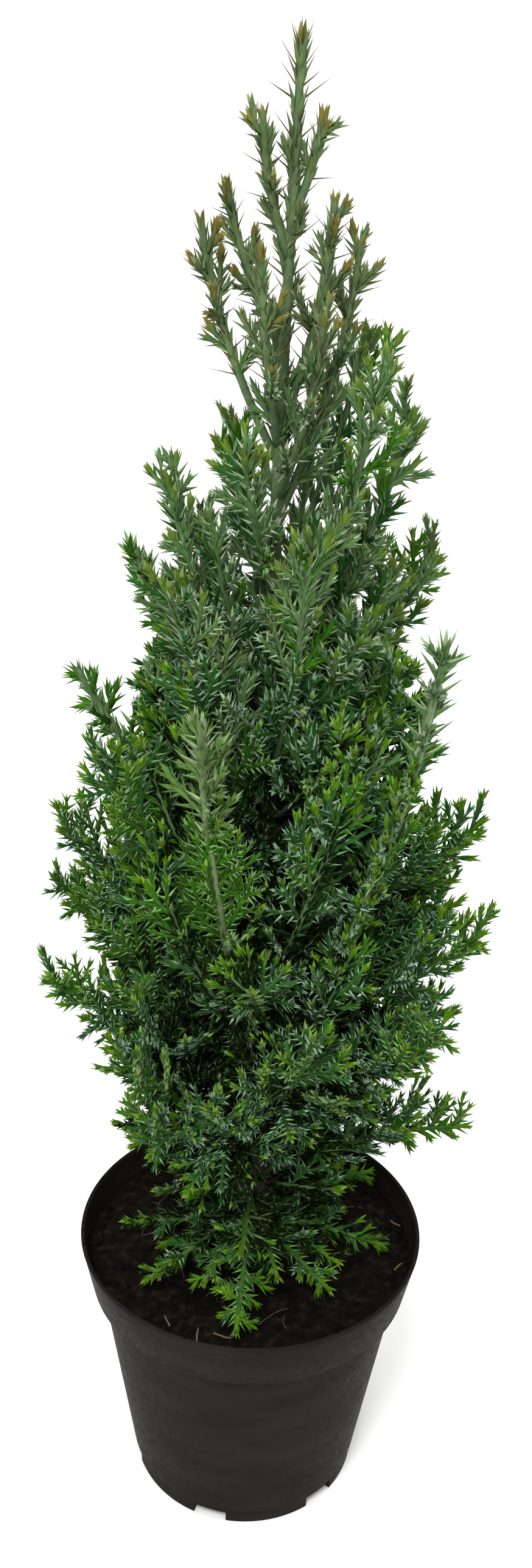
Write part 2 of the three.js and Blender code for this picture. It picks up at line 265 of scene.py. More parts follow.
BACK = Rule("back", 6, foot=350, step=-37, bearing=54, reach=32, more=9, rise=64, turn=69.2)
BACK_ARC_START, BACK_ARC = 64.0, 112.0
BACK_SAG = 5.0
SOIL_SPRAYS = Rule("soil_spray", 8, foot=115, step=0, bearing=182, reach=52, more=4, rise=4, turn=42)
SOIL_FILLS = replace(SOIL_SPRAYS, name="soil_fill", foot=117, bearing=203, reach=40, more=3, rise=2)
SOIL_SPRAY_TIP, SOIL_SPRAY_LIFT = 109.0, 3.0
SKIRT = Rule("skirt", 11, foot=128, step=3, bearing=75, reach=30, more=16, rise=8)
LOW = Rule("low", 10, foot=134, step=5, bearing=345, reach=56, more=8, rise=36)
INNER = Rule("inner", 54, foot=126, step=3.2, bearing=20, reach=0.375, more=0.25, rise=1.1)
INNER_SAG = 0.8
PLUMES = Rule("plume", 13, foot=270, step=6.4, bearing=200, reach=0.5, rise=52)
FILL_SWEEP = 38.0
FILL_BOW = 0.22
FILL_STEEPNESS = 1.2
FILL_TOP = 330.0
FOOT_BAND = (130.0, 190.0)


def back_boughs():
    """Boughs down the back, which the photograph hides."""
    for k, name, foot, turned in BACK.places():
        bearing = BACK_ARC_START + turned % BACK_ARC
        yield Bough(name, foot, bearing, BACK.reach + BACK.more * k, foot + BACK.rise - BACK_SAG * k)


def soil_sprays():
    """A ring of long sprays over the soil with shorter ones between, all a little staggered."""
    for spray, fill in zip(SOIL_SPRAYS.places(), SOIL_FILLS.places()):
        k, name, foot, bearing = spray
        odd, third = k % 2, k % 3
        lift = SOIL_SPRAY_LIFT * third
        reach = SOIL_SPRAYS.reach + SOIL_SPRAYS.more * (third - 1)
        yield Bough(name, foot + lift, bearing, reach, SOIL_SPRAY_TIP + SOIL_SPRAYS.rise * odd)
        _, name, foot, bearing = fill
        reach = SOIL_FILLS.reach + SOIL_FILLS.more * odd
        yield Bough(name, foot + lift, bearing, reach, SOIL_SPRAY_TIP + SOIL_FILLS.rise * third)


def filling(name, foot, bearing, reach, tip):
    """A bough that fills the crown; at the front and back it is steep and swings round to the flank."""
    ahead = outward(bearing)
    sweep = -FILL_SWEEP * math.copysign(1.0, ahead[0] * ahead[1]) * abs(ahead[1])
    steep = ahead[1] ** 2 * ease(foot, FOOT_BAND)
    tip = min(tip + FILL_STEEPNESS * steep * reach, max(tip, FILL_TOP))
    bow = BOUGH_BOW + (FILL_BOW - BOUGH_BOW) * steep
    return Bough(name, foot, bearing, reach, tip, sweep=sweep, bow=bow)


def skirt_shoots():
    """A low ring of shoots that hang out over the soil."""
    for k, name, foot, bearing in SKIRT.places():
        reach = SKIRT.reach + SKIRT.more * stagger(k)
        yield filling(name, foot, bearing, reach, foot + SKIRT.rise * (k % 3 - 1))


def low_boughs():
    """Boughs all round the foot of the crown, longer on the right, within the ones that give its outline."""
    for k, name, foot, bearing in LOW.places():
        reach = LOW.reach + LOW.more * stagger(k) + LOW.more * outward(bearing)[0]
        yield filling(name, foot, bearing, reach, foot + LOW.rise)


def inner_shoots():
    """Short boughs all the way up the trunk, which fill the middle of the crown."""
    for k, name, foot, bearing in INNER.places():
        reach = crown_radius(foot) * (INNER.reach + INNER.more * stagger(k))
        low = 1 - ease(foot, FOOT_BAND)
        yield filling(name, foot, bearing, reach, foot + reach * (INNER.rise - INNER_SAG * low))


def inner_plumes():
    """Short plumes that hide the trunk below the spire."""
    for _, name, foot, bearing in PLUMES.places():
        tip = foot + PLUMES.rise
        yield filling(name, foot, bearing, PLUMES.reach * crown_radius(tip), tip)


def all_boughs():
    rules = (back_boughs, soil_sprays, skirt_shoots, low_boughs, inner_shoots, inner_plumes)
    return [*FRONT_BOUGHS, *(bough for rule in rules for bough in rule())]


# Meshes from arrays


def linked(name, data):
    """A new object in the scene that holds a mesh, light or camera."""
    thing = bpy.data.objects.new(name, data)
    bpy.context.scene.collection.objects.link(thing)
    return thing


def mesh_object(name, vertices, triangles, materials, material_index=None, smooth=True):
    """A mesh piece from points in millimetres and triangles, riding on the part's one body."""
    mesh = bpy.data.meshes.new(name)
    mesh.vertices.add(len(vertices))
    mesh.vertices.foreach_set("co", np.ascontiguousarray(vertices * MM, np.float32).ravel())
    mesh.loops.add(triangles.size)
    mesh.loops.foreach_set("vertex_index", np.ascontiguousarray(triangles, np.int32).ravel())
    mesh.polygons.add(len(triangles))
    mesh.polygons.foreach_set("loop_start", np.arange(0, triangles.size, 3, dtype=np.int32))
    if material_index is not None:
        mesh.polygons.foreach_set("material_index", np.ascontiguousarray(material_index, np.int32))
    mesh.polygons.foreach_set("use_smooth", np.full(len(triangles), smooth))
    for material in materials:
        mesh.materials.append(material)
    mesh.update(calc_edges=True)
    mesh.validate()
    piece = linked(name, mesh)
    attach(piece, "root")
    return piece


def nodes_named(start):
    return [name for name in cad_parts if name.startswith(start)]


def joined(parts):
    """Vertices and triangles of several (vertices, triangles) pairs as one pair."""
    offsets = np.cumsum([0] + [len(v) for v, _ in parts])
    vertices = np.concatenate([v for v, _ in parts])
    triangles = np.concatenate([t + o for (_, t), o in zip(parts, offsets)])
    return vertices, triangles


def grid_triangles(rows, columns):
    """Triangles of a grid of points whose columns close on themselves."""
    row, column = np.meshgrid(np.arange(rows - 1), np.arange(columns), indexing="ij")
    a = row * columns + column
    b = row * columns + (column + 1) % columns
    c = a + columns
    d = b + columns
    return np.concatenate([np.stack([a, b, d], -1).reshape(-1, 3), np.stack([a, d, c], -1).reshape(-1, 3)])


def closed(skin, ends, columns):
    """Vertices and triangles of a skin of rings, with a fan to an end point at its foot and top."""
    rows = len(skin) // columns
    column = np.arange(columns)
    following = (column + 1) % columns
    top = (rows - 1) * columns
    first, last = len(skin), len(skin) + 1
    fans = [
        np.stack([np.full(columns, first), following, column], -1),
        np.stack([np.full(columns, last), top + column, top + following], -1),
    ]
    return np.concatenate([skin, ends]), np.concatenate([grid_triangles(rows, columns), *fans])


def circle(count):
    """The x and y of points evenly round a unit circle."""
    angle = np.arange(count) * 2 * math.pi / count
    return np.cos(angle), np.sin(angle)


def ring_points(radii, heights, segments):
    """Level rings of points round the upright axis, one after another."""
    x, y = circle(segments)
    rings = [np.column_stack([r * x, r * y, np.full(segments, z)]) for r, z in zip(radii, heights)]
    return np.concatenate(rings)


def lathe(profile, segments):
    """A closed turned shape from (radius, height) points that start and end on the axis."""
    radii, heights = zip(*profile)
    ends = np.outer([heights[0], heights[-1]], UP)
    return closed(ring_points(radii[1:-1], heights[1:-1], segments), ends, segments)


def tangents(points):
    return unit(np.gradient(points, axis=0))


def tube(points, radii, sides):
    """A closed tube along points, with a radius for each point or a row of radii round it."""
    along = tangents(points)
    start = UP if abs(along[0] @ UP) < NEARLY_UPRIGHT else outward(0)
    across = [unit(np.cross(along[0], start))]
    for direction in along[1:]:
        across.append(unit(across[-1] - (across[-1] @ direction) * direction))
    across = np.array(across)
    other = np.cross(along, across)
    x, y = circle(sides)
    ring = x[None, :, None] * across[:, None] + y[None, :, None] * other[:, None]
    radii = np.asarray(radii, float)
    radii = radii[:, None] if radii.ndim == 1 else radii
    skin = (points[:, None] + ring * radii[..., None]).reshape(-1, 3)
    return closed(skin, points[[0, -1]], sides)


# Trunk and bough curves, by the solids' rule


def trunk_point(height):
    height = np.asarray(height, float)
    share = (height - SOIL_SURFACE) / (TRUNK_TIP - SOIL_SURFACE)
    sway = TRUNK_SWAY * np.sin(share * 2 * math.pi)
    return np.stack([TRUNK_LEAN * share + sway, -sway / 2, height], -1)


def trunk_radius(height):
    rise = np.asarray(height, float) - SOIL_SURFACE
    share = np.minimum(1, rise / (TRUNK_TIP - SOIL_SURFACE))
    flare = TRUNK_FLARE * np.exp(-rise / TRUNK_FLARE_HEIGHT)
    return TRUNK_FOOT_RADIUS + (TRUNK_TIP_RADIUS - TRUNK_FOOT_RADIUS) * share**TRUNK_TAPER + flare


def curve(start, middle, end, step):
    """Evenly spaced points along a quadratic curve."""
    t = np.linspace(0, 1, CURVE_SAMPLES)[:, None]
    fine = (1 - t) ** 2 * start + 2 * t * (1 - t) * middle + t**2 * end
    reached = distances(fine)
    places = np.linspace(0, reached[-1], max(LEAST_POINTS, round(reached[-1] / step) + 1))
    return read_along(places, reached, fine)


def bough_curve(bough):
    start = trunk_point(bough.foot)
    end = outward(bough.bearing + bough.sweep) * bough.reach + UP * bough.tip
    middle = (start + end) / 2 + outward(bough.bearing) * bough.bow * np.linalg.norm(end - start)
    return curve(start, middle, end, CURVE_STEP)


# Habits: how the boughs of each part of the crown branch, and the needles they bear


@dataclass
class Needles:
    """The needles of one kind of shoot, in millimetres and degrees."""

    length: float
    width: float
    spacing: float  # step from one pair to the next
    spread: float  # angle from the stem
    foot: float  # how far the base runs down the stem
    press: float = 1.0  # share of that angle that pairs on the faces of the spray keep


@dataclass
class Habit:
    """How a bough branches, and the needles on its axis, its side shoots and its tip."""

    every: float  # step between side shoots
    lean: float  # their angle from the bough
    longest: float
    shortest: float
    growth: float  # length that a side shoot gains for each millimetre down from the tip
    bough_share: float  # most that a side shoot may be of the bough's length
    rise: float  # how much side shoots turn up
    roundness: float  # 0 for a flat spray, 1 for a round one
    twig_every: float
    twig_longest: float
    fresh: float  # length of fresh growth at the tips
    tip_radius: float
    axis: Needles
    side: Needles
    tip: Needles
    axis_tint: str = "mid"
    side_tint: str = ""  # empty where each spray gets its own
    tip_tint: str = "fresh"
    stem: str = "green"


FINE = Habit(
    every=3.4, lean=48, longest=36, shortest=9, growth=0.5, bough_share=0.4, rise=0.5, roundness=0.35,
    twig_every=4.6, twig_longest=15, fresh=4.2, tip_radius=0.7,
    axis=Needles(5.6, 1.1, 2.4, 54, 2.4, 0.4),
    side=Needles(4.6, 1.05, 1.55, 52, 1.8, 0.3),
    tip=Needles(5.2, 1.3, 1.7, 44, 1.8, 0.6),
)
PLUME = Habit(
    every=4.6, lean=40, longest=20, shortest=9, growth=0.34, bough_share=0.26, rise=0.15, roundness=0.35,
    twig_every=8.0, twig_longest=9, fresh=3.0, tip_radius=0.9,
    axis=Needles(5.5, 1.35, 2.2, 44, 2.6, 0.6),
    side=Needles(4.8, 1.3, 1.6, 44, 2.2, 0.35),
    tip=Needles(5.4, 1.6, 1.7, 38, 2.2, 0.7),
    axis_tint="plume",
    tip_tint="plume_tip",
)
SPIRE = Habit(
    every=7.4, lean=40, longest=14, shortest=7.5, growth=0.2, bough_share=0.22, rise=0.2, roundness=0.9,
    twig_every=12.0, twig_longest=5, fresh=2.5, tip_radius=1.0,
    axis=Needles(8.4, 0.6, 4.2, 62, 0.4),
    side=Needles(4.6, 1.3, 1.6, 36, 2.2, 0.8),
    tip=Needles(5.0, 1.4, 1.6, 30, 2.2, 0.8),
    axis_tint="spire",
    side_tint="spire",
    tip_tint="spire_tip",
)
LEADER = Habit(
    every=4.4, lean=56, longest=19, shortest=5, growth=0.46, bough_share=0.52, rise=0.1, roundness=0.3,
    twig_every=9.0, twig_longest=6, fresh=0.0, tip_radius=1.0,
    axis=Needles(7.6, 1.9, 3.2, 58, 2.6),
    side=Needles(6.2, 1.5, 2.5, 44, 2.2, 0.5),
    tip=Needles(9.2, 2.0, 2.0, 48, 2.5),
    axis_tint="pale",
    side_tint="pale_mid",
    stem="pale",
)
THIN_LEADER = replace(
    LEADER, every=6.0, longest=9, shortest=5, growth=0.16, side_tint="plume", tip_tint="plume_tip",
    axis=Needles(9.8, 1.05, 3.8, 56, 2.4), axis_tint="plume",
)
GREEN_LEADER = replace(
    THIN_LEADER, every=4.0, longest=14, growth=0.34, side_tint="mid", stem="green",
    axis=Needles(6.4, 1.0, 2.6, 52, 2.2), tip=Needles(5.4, 1.3, 1.9, 34, 2.0),
)
SOIL_HABIT = replace(
    FINE, every=3.6, lean=42, longest=14, shortest=6, growth=0.22, bough_share=0.3, rise=0.0, roundness=0.2,
    twig_every=6.0, twig_longest=5, fresh=8, axis=Needles(4.4, 1.0, 1.7, 50, 1.6, 0.6),
    tip=Needles(4.4, 1.15, 1.6, 44, 1.6, 0.6),
)
# Inner shoots: the needles on their own axis take the near-black tint of painted shade
INNER_HABIT = replace(
    FINE, every=4.0, longest=18, shortest=7, growth=0.42, fresh=3, axis_tint="deep", rise=0.6,
    side=replace(FINE.side, spacing=2.3, width=1.3),
)
SKIRT_HABIT = replace(INNER_HABIT, fresh=8, rise=0.0)
LOW_HABIT = replace(FINE, rise=-0.5, fresh=9, longest=20, shortest=6)
TOP_HABIT = replace(SPIRE, longest=9, bough_share=1.0)
RULED_HABITS = {"soil": SOIL_HABIT, "inner": INNER_HABIT, "skirt": SKIRT_HABIT}

# Boughs that end in a leader: its habit, its length and the habit of the bough below it
LEADERS = {
    "left_front": (LEADER, 38.0, replace(FINE, stem="pale", longest=22, side_tint="mid")),
    "right_front": (THIN_LEADER, 42.0, replace(FINE, stem="pale", longest=11)),
    "left_high": (GREEN_LEADER, 34.0, replace(FINE, longest=11)),
    "shoulder_left_back": (GREEN_LEADER, 34.0, replace(FINE, longest=11)),
}
# Lengths at the ends of boughs that other shoots keep clear of
CLEARED = {"left_front": 66.0, "right_front": 42.0}

SCALES = Needles(4.0, 2.1, 2.6, 26, 3.6)
LEADER_SCALES = Needles(3.4, 1.9, 2.0, 22, 3.0)
TOP_SCALES = Needles(6.0, 2.8, 4.6, 26, 4.2)
TOP_NEEDLES = Needles(10.0, 0.7, 4.6, 58, 0.6)
BUD_NEEDLES = Needles(7.6, 1.9, 1.5, 26, 1.5)

LOW_TIP = 170.0
PLUME_TIPS = (340.0, 405.0)
SPIRE_TIPS = (430.0, 468.0)
SLIM_TIPS = (250.0, 340.0)
FLANK_SLIMMING = 0.4
FLANK_LEAN = 8.0
FLANK_ROUNDNESS = 0.35


def blend(a, b, share):
    """A habit or needles partly one and partly the other; their names change over half way."""
    mixed = {}
    for field in fields(a):
        first, second = getattr(a, field.name), getattr(b, field.name)
        if isinstance(first, str):
            mixed[field.name] = second if share > 0.5 else first
        elif isinstance(first, Needles):
            mixed[field.name] = blend(first, second, share)
        else:
            mixed[field.name] = first + (second - first) * share
    return type(a)(**mixed)


def habit_of(bough):
    """Fine and dense low down, plumes at the shoulder, and sparse broad needles on the spire."""
    kind = bough.name.split("_")[0]
    if kind in RULED_HABITS:
        return RULED_HABITS[kind]
    if bough.tip < LOW_TIP:
        return LOW_HABIT
    if bough.tip >= SPIRE_TIPS[0]:
        return blend(PLUME, SPIRE, ease(bough.tip, SPIRE_TIPS))
    habit = blend(FINE, PLUME, ease(bough.tip, PLUME_TIPS))
    flank = abs(outward(bough.bearing)[0])
    slim = 1 - FLANK_SLIMMING * flank * ease(bough.tip, SLIM_TIPS)
    lean = habit.lean - FLANK_LEAN * flank
    roundness = habit.roundness + FLANK_ROUNDNESS * flank
    return replace(habit, lean=lean, roundness=roundness, longest=habit.longest * slim)


# Where shoots may grow, and their tints

FRONT = unit(np.array([0.0, -1.0, 0.75]))
BOX_LOW, BOX_HIGH = cad_low[0] / MM, cad_high[0] / MM
NEEDLE_MARGIN = 3.0
LEADER_CLEARANCE = 14.0
SOIL_CLEARANCE = 2.5
RIM_CLEARANCE = 3.0
RIM_ZONE = 6.0
CROWN_SLACK = 3.0
CORE_RADIUS = 12.0

LOW_CROWN = (180.0, 280.0)
# Painted shade: how far inside the crown, and how low, sprays take the near-black tint that stands in for
# its inner shadow
PAINTED_SHADE_WITHIN, PAINTED_SHADE_WITHIN_LOW, PAINTED_SHADE_TOP, PAINTED_SHADE_SHARE = 0.45, 0.08, 310.0, 0.6
STRAY_SHADE_WITHIN, STRAY_SHADE_TOP, STRAY_SHADE_SHARE = 0.65, 300.0, 0.2
PLUME_BAND, PLUME_SHARE = (300.0, 390.0), 0.8
BLUE_SHARE, BLUE_FADE, BLUE_FADE_BAND, BLUE_LOW = 0.78, 0.45, (0.5, 0.9), 0.15
SPIRE_GREEN = 446.0


def crown_radius(height):
    rise = max(0.0, height - CROWN_WIDEST) / (CROWN_TOP - CROWN_WIDEST)
    return CROWN_RADIUS * (1 - min(1.0, rise) ** CROWN_TAPER)


def exposure(place):
    """How far out in the crown a place is, from 0 at the trunk to 1 at its outline."""
    return math.hypot(place[0], place[1] / CROWN_FLATNESS) / max(CORE_RADIUS, crown_radius(place[2]))


def hides_leader(tip, leader_points):
    """True for a shoot that would stand right in front of a pale leader."""
    offset = tip - leader_points
    ahead = offset @ FRONT
    aside = np.linalg.norm(offset - ahead[:, None] * FRONT, axis=1)
    return bool(((ahead > -LEADER_CLEARANCE) & (aside < LEADER_CLEARANCE)).any())


def fits(points):
    """True where a shoot stays in the crown and clear of the soil and the pot's rim."""
    tip = points[-1]
    if math.hypot(tip[0], tip[1]) > crown_radius(tip[2]) + CROWN_SLACK:
        return False
    if not BOX_LOW + NEEDLE_MARGIN < tip[0] < BOX_HIGH - NEEDLE_MARGIN:
        return False
    if points[:, 2].min() < SOIL_SURFACE + SOIL_CLEARANCE:
        return False
    near_rim = np.hypot(points[:, 0], points[:, 1]) > RIM_RADIUS - RIM_ZONE
    return not near_rim.any() or points[near_rim, 2].min() > POT_HEIGHT + RIM_CLEARANCE


def spray_tint(place, rng):
    """Painted shade inside the crown and on a few stray sprays low down, as near-black tints; blue and mid
    green outside, and greyer plumes at the shoulder.
    """
    draw = rng.random()
    depth = exposure(place)
    height = place[2]
    low = 1 - ease(height, LOW_CROWN)
    if depth < PAINTED_SHADE_WITHIN + PAINTED_SHADE_WITHIN_LOW * low and height < PAINTED_SHADE_TOP:
        return "deep" if draw < PAINTED_SHADE_SHARE else "blue"
    plume_share = PLUME_SHARE * ease(height, PLUME_BAND)
    if draw < plume_share:
        return "plume"
    draw = (draw - plume_share) / (1 - plume_share)
    # A few stray sprays low in the crown also take the painted shade
    if draw < STRAY_SHADE_SHARE and depth < STRAY_SHADE_WITHIN and height < STRAY_SHADE_TOP:
        return "deep"
    blue_share = BLUE_SHARE - BLUE_FADE * ease(depth, BLUE_FADE_BAND) + BLUE_LOW * low
    return "blue" if draw < blue_share else "mid"


# Shoots: every axis that bears needles

TWIG_SPAN, TWIG_CLEAR = (0.2, 0.72), 3.0
TWIG_SHORTEST, TWIG_GROWTH = 4.0, 0.5
TWIG_LENGTHS, TWIG_STEPS, TWIG_SIZES = (0.75, 1.2), (0.8, 1.2), (0.85, 1.02)
TWIG_LEAN, TWIG_ROLL = (30, 44), 12
TWIG_STRETCH, TWIG_BEND, TWIG_LIFT = 0.97, 0.1, 0.06
TWIG_FRESH, TWIG_FRESH_SHARE = 0.8, 0.28
TWIG_RADII = (0.55, 0.35)
TWIG_STEP = 4.0

PLANE_BAND, PLANE_CORE = (130.0, 230.0), 4.0
TURNED_SHARE, TURNED_FLANK_SHARE = 0.2, 0.5
FACING_OUT, FACING_OUT_HIGH, FACING_UP_LOSS, FACING_SPREAD = 0.5, 0.5, 0.75, 0.2

COMB_DEPTH, COMB_BAND, COMB_CORE = (0.15, 0.45), (150.0, 270.0), 8.0
COMB_ASIDE, COMB_ASIDE_LOW = 0.4, 0.8
COMB_UP, COMB_DOWN_LOW = 0.5, 0.7
COMB_SWEEP, COMB_PRESS = 0.7, 0.9

SIDE_LEAN_SPREAD = 8
SIDE_LENGTHS = (0.75, 1.15)
SIDE_SHRINKS = (1.0, 0.8, 0.6, 0.42)
SIDE_STRETCH = 0.92
SIDE_STEP = 2.6
LIFT_BAND, LIFT_HIGH, LIFT_LOW = (140.0, 280.0), 1.5, 0.5
FLANK_LIFT = 0.2
HANGING, STANDING = 0.55, 0.18
FRESH_LENGTHS, FRESH_DEPTH = (0.5, 1.4), (0.3, 0.75)
SIZE_LOW, SIZE_GAIN, SIZE_BAND, SIZE_SPREAD = 0.8, 0.2, (190.0, 300.0), (0.9, 1.1)
SIDE_RADIUS, SIDE_RADIUS_GAIN = 0.4, 0.25

AXIS_END = 3.0
AXIS_STEPS = (0.75, 1.25)
AXIS_ROLL = 30
TERMINAL, TERMINAL_TAPER = 11.0, 0.7
BARE_END = TERMINAL * 0.7
FLANK_TILT = 70.0


@dataclass
class Shoot:
    """One axis with its needles: its points, the way across it in its spray's plane, and how it looks."""

    points: np.ndarray
    across: np.ndarray
    radii: tuple
    order: int
    needles: Needles
    tint: str
    tip_tint: str
    fresh: float
    bare: float = 0.0
    bare_end: float = 0.0
    stem: str = "green"

    def __post_init__(self):
        self.reached = distances(self.points)
        self.headings = tangents(self.points)
        self.length = float(self.reached[-1])

    def at(self, distance):
        """Points, directions and radii at distances along the shoot."""
        place = read_along(distance, self.reached, self.points)
        heading = read_along(distance, self.reached, self.headings)
        radius = np.interp(distance, (0, self.length), self.radii)
        return place, unit(heading), radius


def branchlets(side, habit, rng):
    """The third order: short shoots on both sides of a side shoot, in its spray's plane."""
    grown = []
    distance = max(TWIG_CLEAR, side.length * TWIG_SPAN[0])
    hand = 1 if rng.random() < 0.5 else -1
    while distance < side.length * TWIG_SPAN[1]:
        start, heading, _ = side.at(distance)
        most = min(habit.twig_longest, TWIG_SHORTEST + TWIG_GROWTH * (side.length - distance))
        length = most * rng.uniform(*TWIG_LENGTHS)
        turn = math.radians(rng.normal(0, TWIG_ROLL))
        normal = np.cross(heading, side.across)
        across = hand * swing(side.across, normal, turn)
        lean = math.radians(rng.uniform(*TWIG_LEAN))
        direction = swing(heading, across, lean)
        end = start + direction * length * TWIG_STRETCH + (heading * TWIG_BEND + UP * TWIG_LIFT) * length
        points = curve(start, start + direction * length * 0.5, end, TWIG_STEP)
        if fits(points):
            needles = replace(side.needles, length=side.needles.length * rng.uniform(*TWIG_SIZES))
            fresh = side.fresh * TWIG_FRESH if rng.random() < TWIG_FRESH_SHARE else 0.0
            plane = unit(np.cross(normal, direction))
            grown.append(Shoot(points, plane, TWIG_RADII, 3, needles, side.tint, side.tip_tint, fresh))
        distance += habit.twig_every * rng.uniform(*TWIG_STEPS)
        hand = -hand
    return grown


def spray_plane(start, direction, rng):
    """The way a spray spreads: flat low down, and upright higher up, facing outwards or turned aside."""
    height = ease(start[2], PLANE_BAND)
    out = radial(start, PLANE_CORE)
    if rng.random() < TURNED_SHARE + TURNED_FLANK_SHARE * out[0] ** 2:
        out = np.cross(UP, out)
    facing = out * (FACING_OUT + FACING_OUT_HIGH * height) + UP * (1 - FACING_UP_LOSS * height)
    return unit(np.cross(facing + rng.normal(0, FACING_SPREAD, 3), direction))


def combed(direction, start):
    """A direction laid along the crown's skin at its front and back, swept up high and sideways low down."""
    out = radial(start, COMB_CORE)
    laid = out[1] ** 2 * ease(exposure(start), COMB_DEPTH)
    low = 1 - ease(start[2], COMB_BAND)
    sweep = np.array([out[0] * (COMB_ASIDE + COMB_ASIDE_LOW * low), 0.0, COMB_UP - COMB_DOWN_LOW * low])
    return unit(direction + laid * (COMB_SWEEP * sweep - COMB_PRESS * (direction @ out) * out))


def side_shoot(parent, distance, roll, habit, rng):
    """The second order: a side shoot that leaves its bough by the golden angle and turns up a little."""
    start, heading, _ = parent.at(distance)
    normal = np.cross(heading, parent.across)
    away = unit(parent.across * math.cos(roll) + normal * math.sin(roll) * habit.roundness)
    lean = math.radians(habit.lean + rng.uniform(-SIDE_LEAN_SPREAD, SIDE_LEAN_SPREAD))
    direction = combed(swing(heading, away, lean), start)
    most = min(habit.longest, habit.bough_share * parent.length)
    full = min(most, habit.shortest + habit.growth * (parent.length - distance)) * rng.uniform(*SIDE_LENGTHS)
    flank = radial(start, COMB_CORE)[0] ** 2
    full *= 1 + flank * (HANGING if away[2] < 0 else STANDING) * away[2]
    lift = habit.rise * (LIFT_HIGH * ease(start[2], LIFT_BAND) - LIFT_LOW)
    if habit.rise > 0:
        lift += (FLANK_LIFT - lift) * flank
    for shrink in SIDE_SHRINKS:
        length = full * shrink
        end = start + direction * length * SIDE_STRETCH + UP * length * lift
        points = curve(start, start + direction * length * 0.5, end, SIDE_STEP)
        if fits(points):
            break
    else:
        return None
    plane = spray_plane(start, direction, rng)
    tint = habit.side_tint or spray_tint(end, rng)
    if tint == "spire" and end[2] < SPIRE_GREEN:
        tint = "plume"
    fresh = habit.fresh * rng.uniform(*FRESH_LENGTHS) * ease(exposure(end), FRESH_DEPTH)
    size = (SIZE_LOW + SIZE_GAIN * ease(start[2], SIZE_BAND)) * rng.uniform(*SIZE_SPREAD)
    needles = replace(habit.side, length=habit.side.length * size, width=habit.side.width * size)
    tip_radius = SIDE_RADIUS + SIDE_RADIUS_GAIN * (habit.tip_radius - FINE.tip_radius)
    return Shoot(points, plane, (tip_radius * 2, tip_radius), 2, needles, tint, habit.tip_tint, fresh)


def grow_axis(points, across, radii, habit, spans, leader_points, rng):
    """The shoots along a limb: side shoots from one distance on, and its own needles from another."""
    first, bare, bare_end = spans
    spire = habit.side_tint == "spire"
    tint = "spire_needle" if spire else habit.axis_tint
    axis = Shoot(points, across, radii, 1, habit.axis, tint, habit.tip_tint, 0.0, bare, bare_end, habit.stem)
    shoots = [axis]
    if spire or habit.axis_tint == "pale":
        tints = (habit.axis_tint, habit.tip_tint)
        scales = SCALES if spire else LEADER_SCALES
        shoots.append(Shoot(points, across, radii, 1, scales, *tints, 0.0, bare, bare_end, ""))
    distance = first
    k = 0
    while distance < axis.length - AXIS_END:
        roll = math.radians(k * GOLDEN_ANGLE + AXIS_ROLL * rng.random())
        side = side_shoot(axis, distance, roll, habit, rng)
        if side is not None and not hides_leader(side.points[-1], leader_points):
            shoots.append(side)
            shoots.extend(branchlets(side, habit, rng))
        distance += habit.every * rng.uniform(*AXIS_STEPS)
        k += 1
    return shoots


def grow_tip(points, across, habit, fresh):
    """The end of a limb, closing to a tuft."""
    count = round(TERMINAL / CURVE_STEP) + 1
    radii = (habit.tip_radius, habit.tip_radius * TERMINAL_TAPER)
    return Shoot(points[-count:], across, radii, 2, habit.tip, habit.axis_tint, habit.tip_tint, fresh)


def limb_plane(bough, points):
    """The direction across a limb in its own spray: level at the front and back, steep on the flanks."""
    level = outward(bough.bearing + 90)
    tilt = math.radians(FLANK_TILT) * outward(bough.bearing)[0] ** 2
    heading = unit(points[-1] - points[0])
    return swing(level, np.cross(heading, level), tilt)


BOUGH_SLENDERNESS, BOUGH_MOST_RADIUS, BOUGH_LEAST_TAPER = 0.011, 1.8, 1.4
BARE_SHARE_BELOW_SPIRE = 0.4
NEEDLES_FROM = 0.25
TRUNK_CLEARANCE = 2.0
LEADER_FOOT_TAPER = 1.5
LOWER_BARE_END = 1.0
POINTS_SHORT = 2  # points that a limb stops short of its curve's end, which its last needles reach
LEADER_SPANS = (2.0, 0.5, BARE_END)


def grow_bough(bough, seed, leader_points):
    """All the shoots of a bough: axis, side shoots, branchlets, and its leader if it has one."""
    rng = np.random.default_rng(seed)
    habit = habit_of(bough)
    points = bough_curve(bough)
    points = points if bough.name.startswith("soil_spray") else points[:-POINTS_SHORT]
    span = float(np.linalg.norm(points[-1] - points[0]))
    foot_radius = max(habit.tip_radius * BOUGH_LEAST_TAPER, min(BOUGH_MOST_RADIUS, BOUGH_SLENDERNESS * span))
    bare_share = bough.bare * (1.0 if bough.tip > SPIRE_TIPS[0] else BARE_SHARE_BELOW_SPIRE)
    first = max(bare_share * span, float(trunk_radius(bough.foot)) + TRUNK_CLEARANCE)
    bare = max(first, span * NEEDLES_FROM)
    across = limb_plane(bough, points)
    if bough.name not in LEADERS:
        radii = (foot_radius, habit.tip_radius)
        shoots = grow_axis(points, across, radii, habit, (first, bare, BARE_END), leader_points, rng)
        return [*shoots, grow_tip(points, across, habit, habit.fresh)]
    leader, length, lower = LEADERS[bough.name]
    cut = len(points) - round(length / CURVE_STEP)
    radii = (foot_radius, leader.tip_radius * LEADER_FOOT_TAPER, leader.tip_radius)
    lower_spans = (first, bare, LOWER_BARE_END)
    shoots = grow_axis(points[:cut], across, radii[:2], lower, lower_spans, NOTHING, rng)
    shoots += grow_axis(points[cut - 1 :], across, radii[1:], leader, LEADER_SPANS, NOTHING, rng)
    return [*shoots, grow_tip(points, across, leader, 0.0)]


TOP_BEARING = 20
TOP_POINTS = 60
TOP_RADII, BUD_RADII = (1.7, 1.1), (1.2, 0.8)
TOP_BARE, TOP_BARE_END, SCALES_BARE_END = 4.0, 1.0, 8.0
BUD_POINTS, BUD_FRESH = 6, 2.0
TOP_SIDES = np.arange(6.0, 96.0, 9.0)
TOP_FIRST = 40


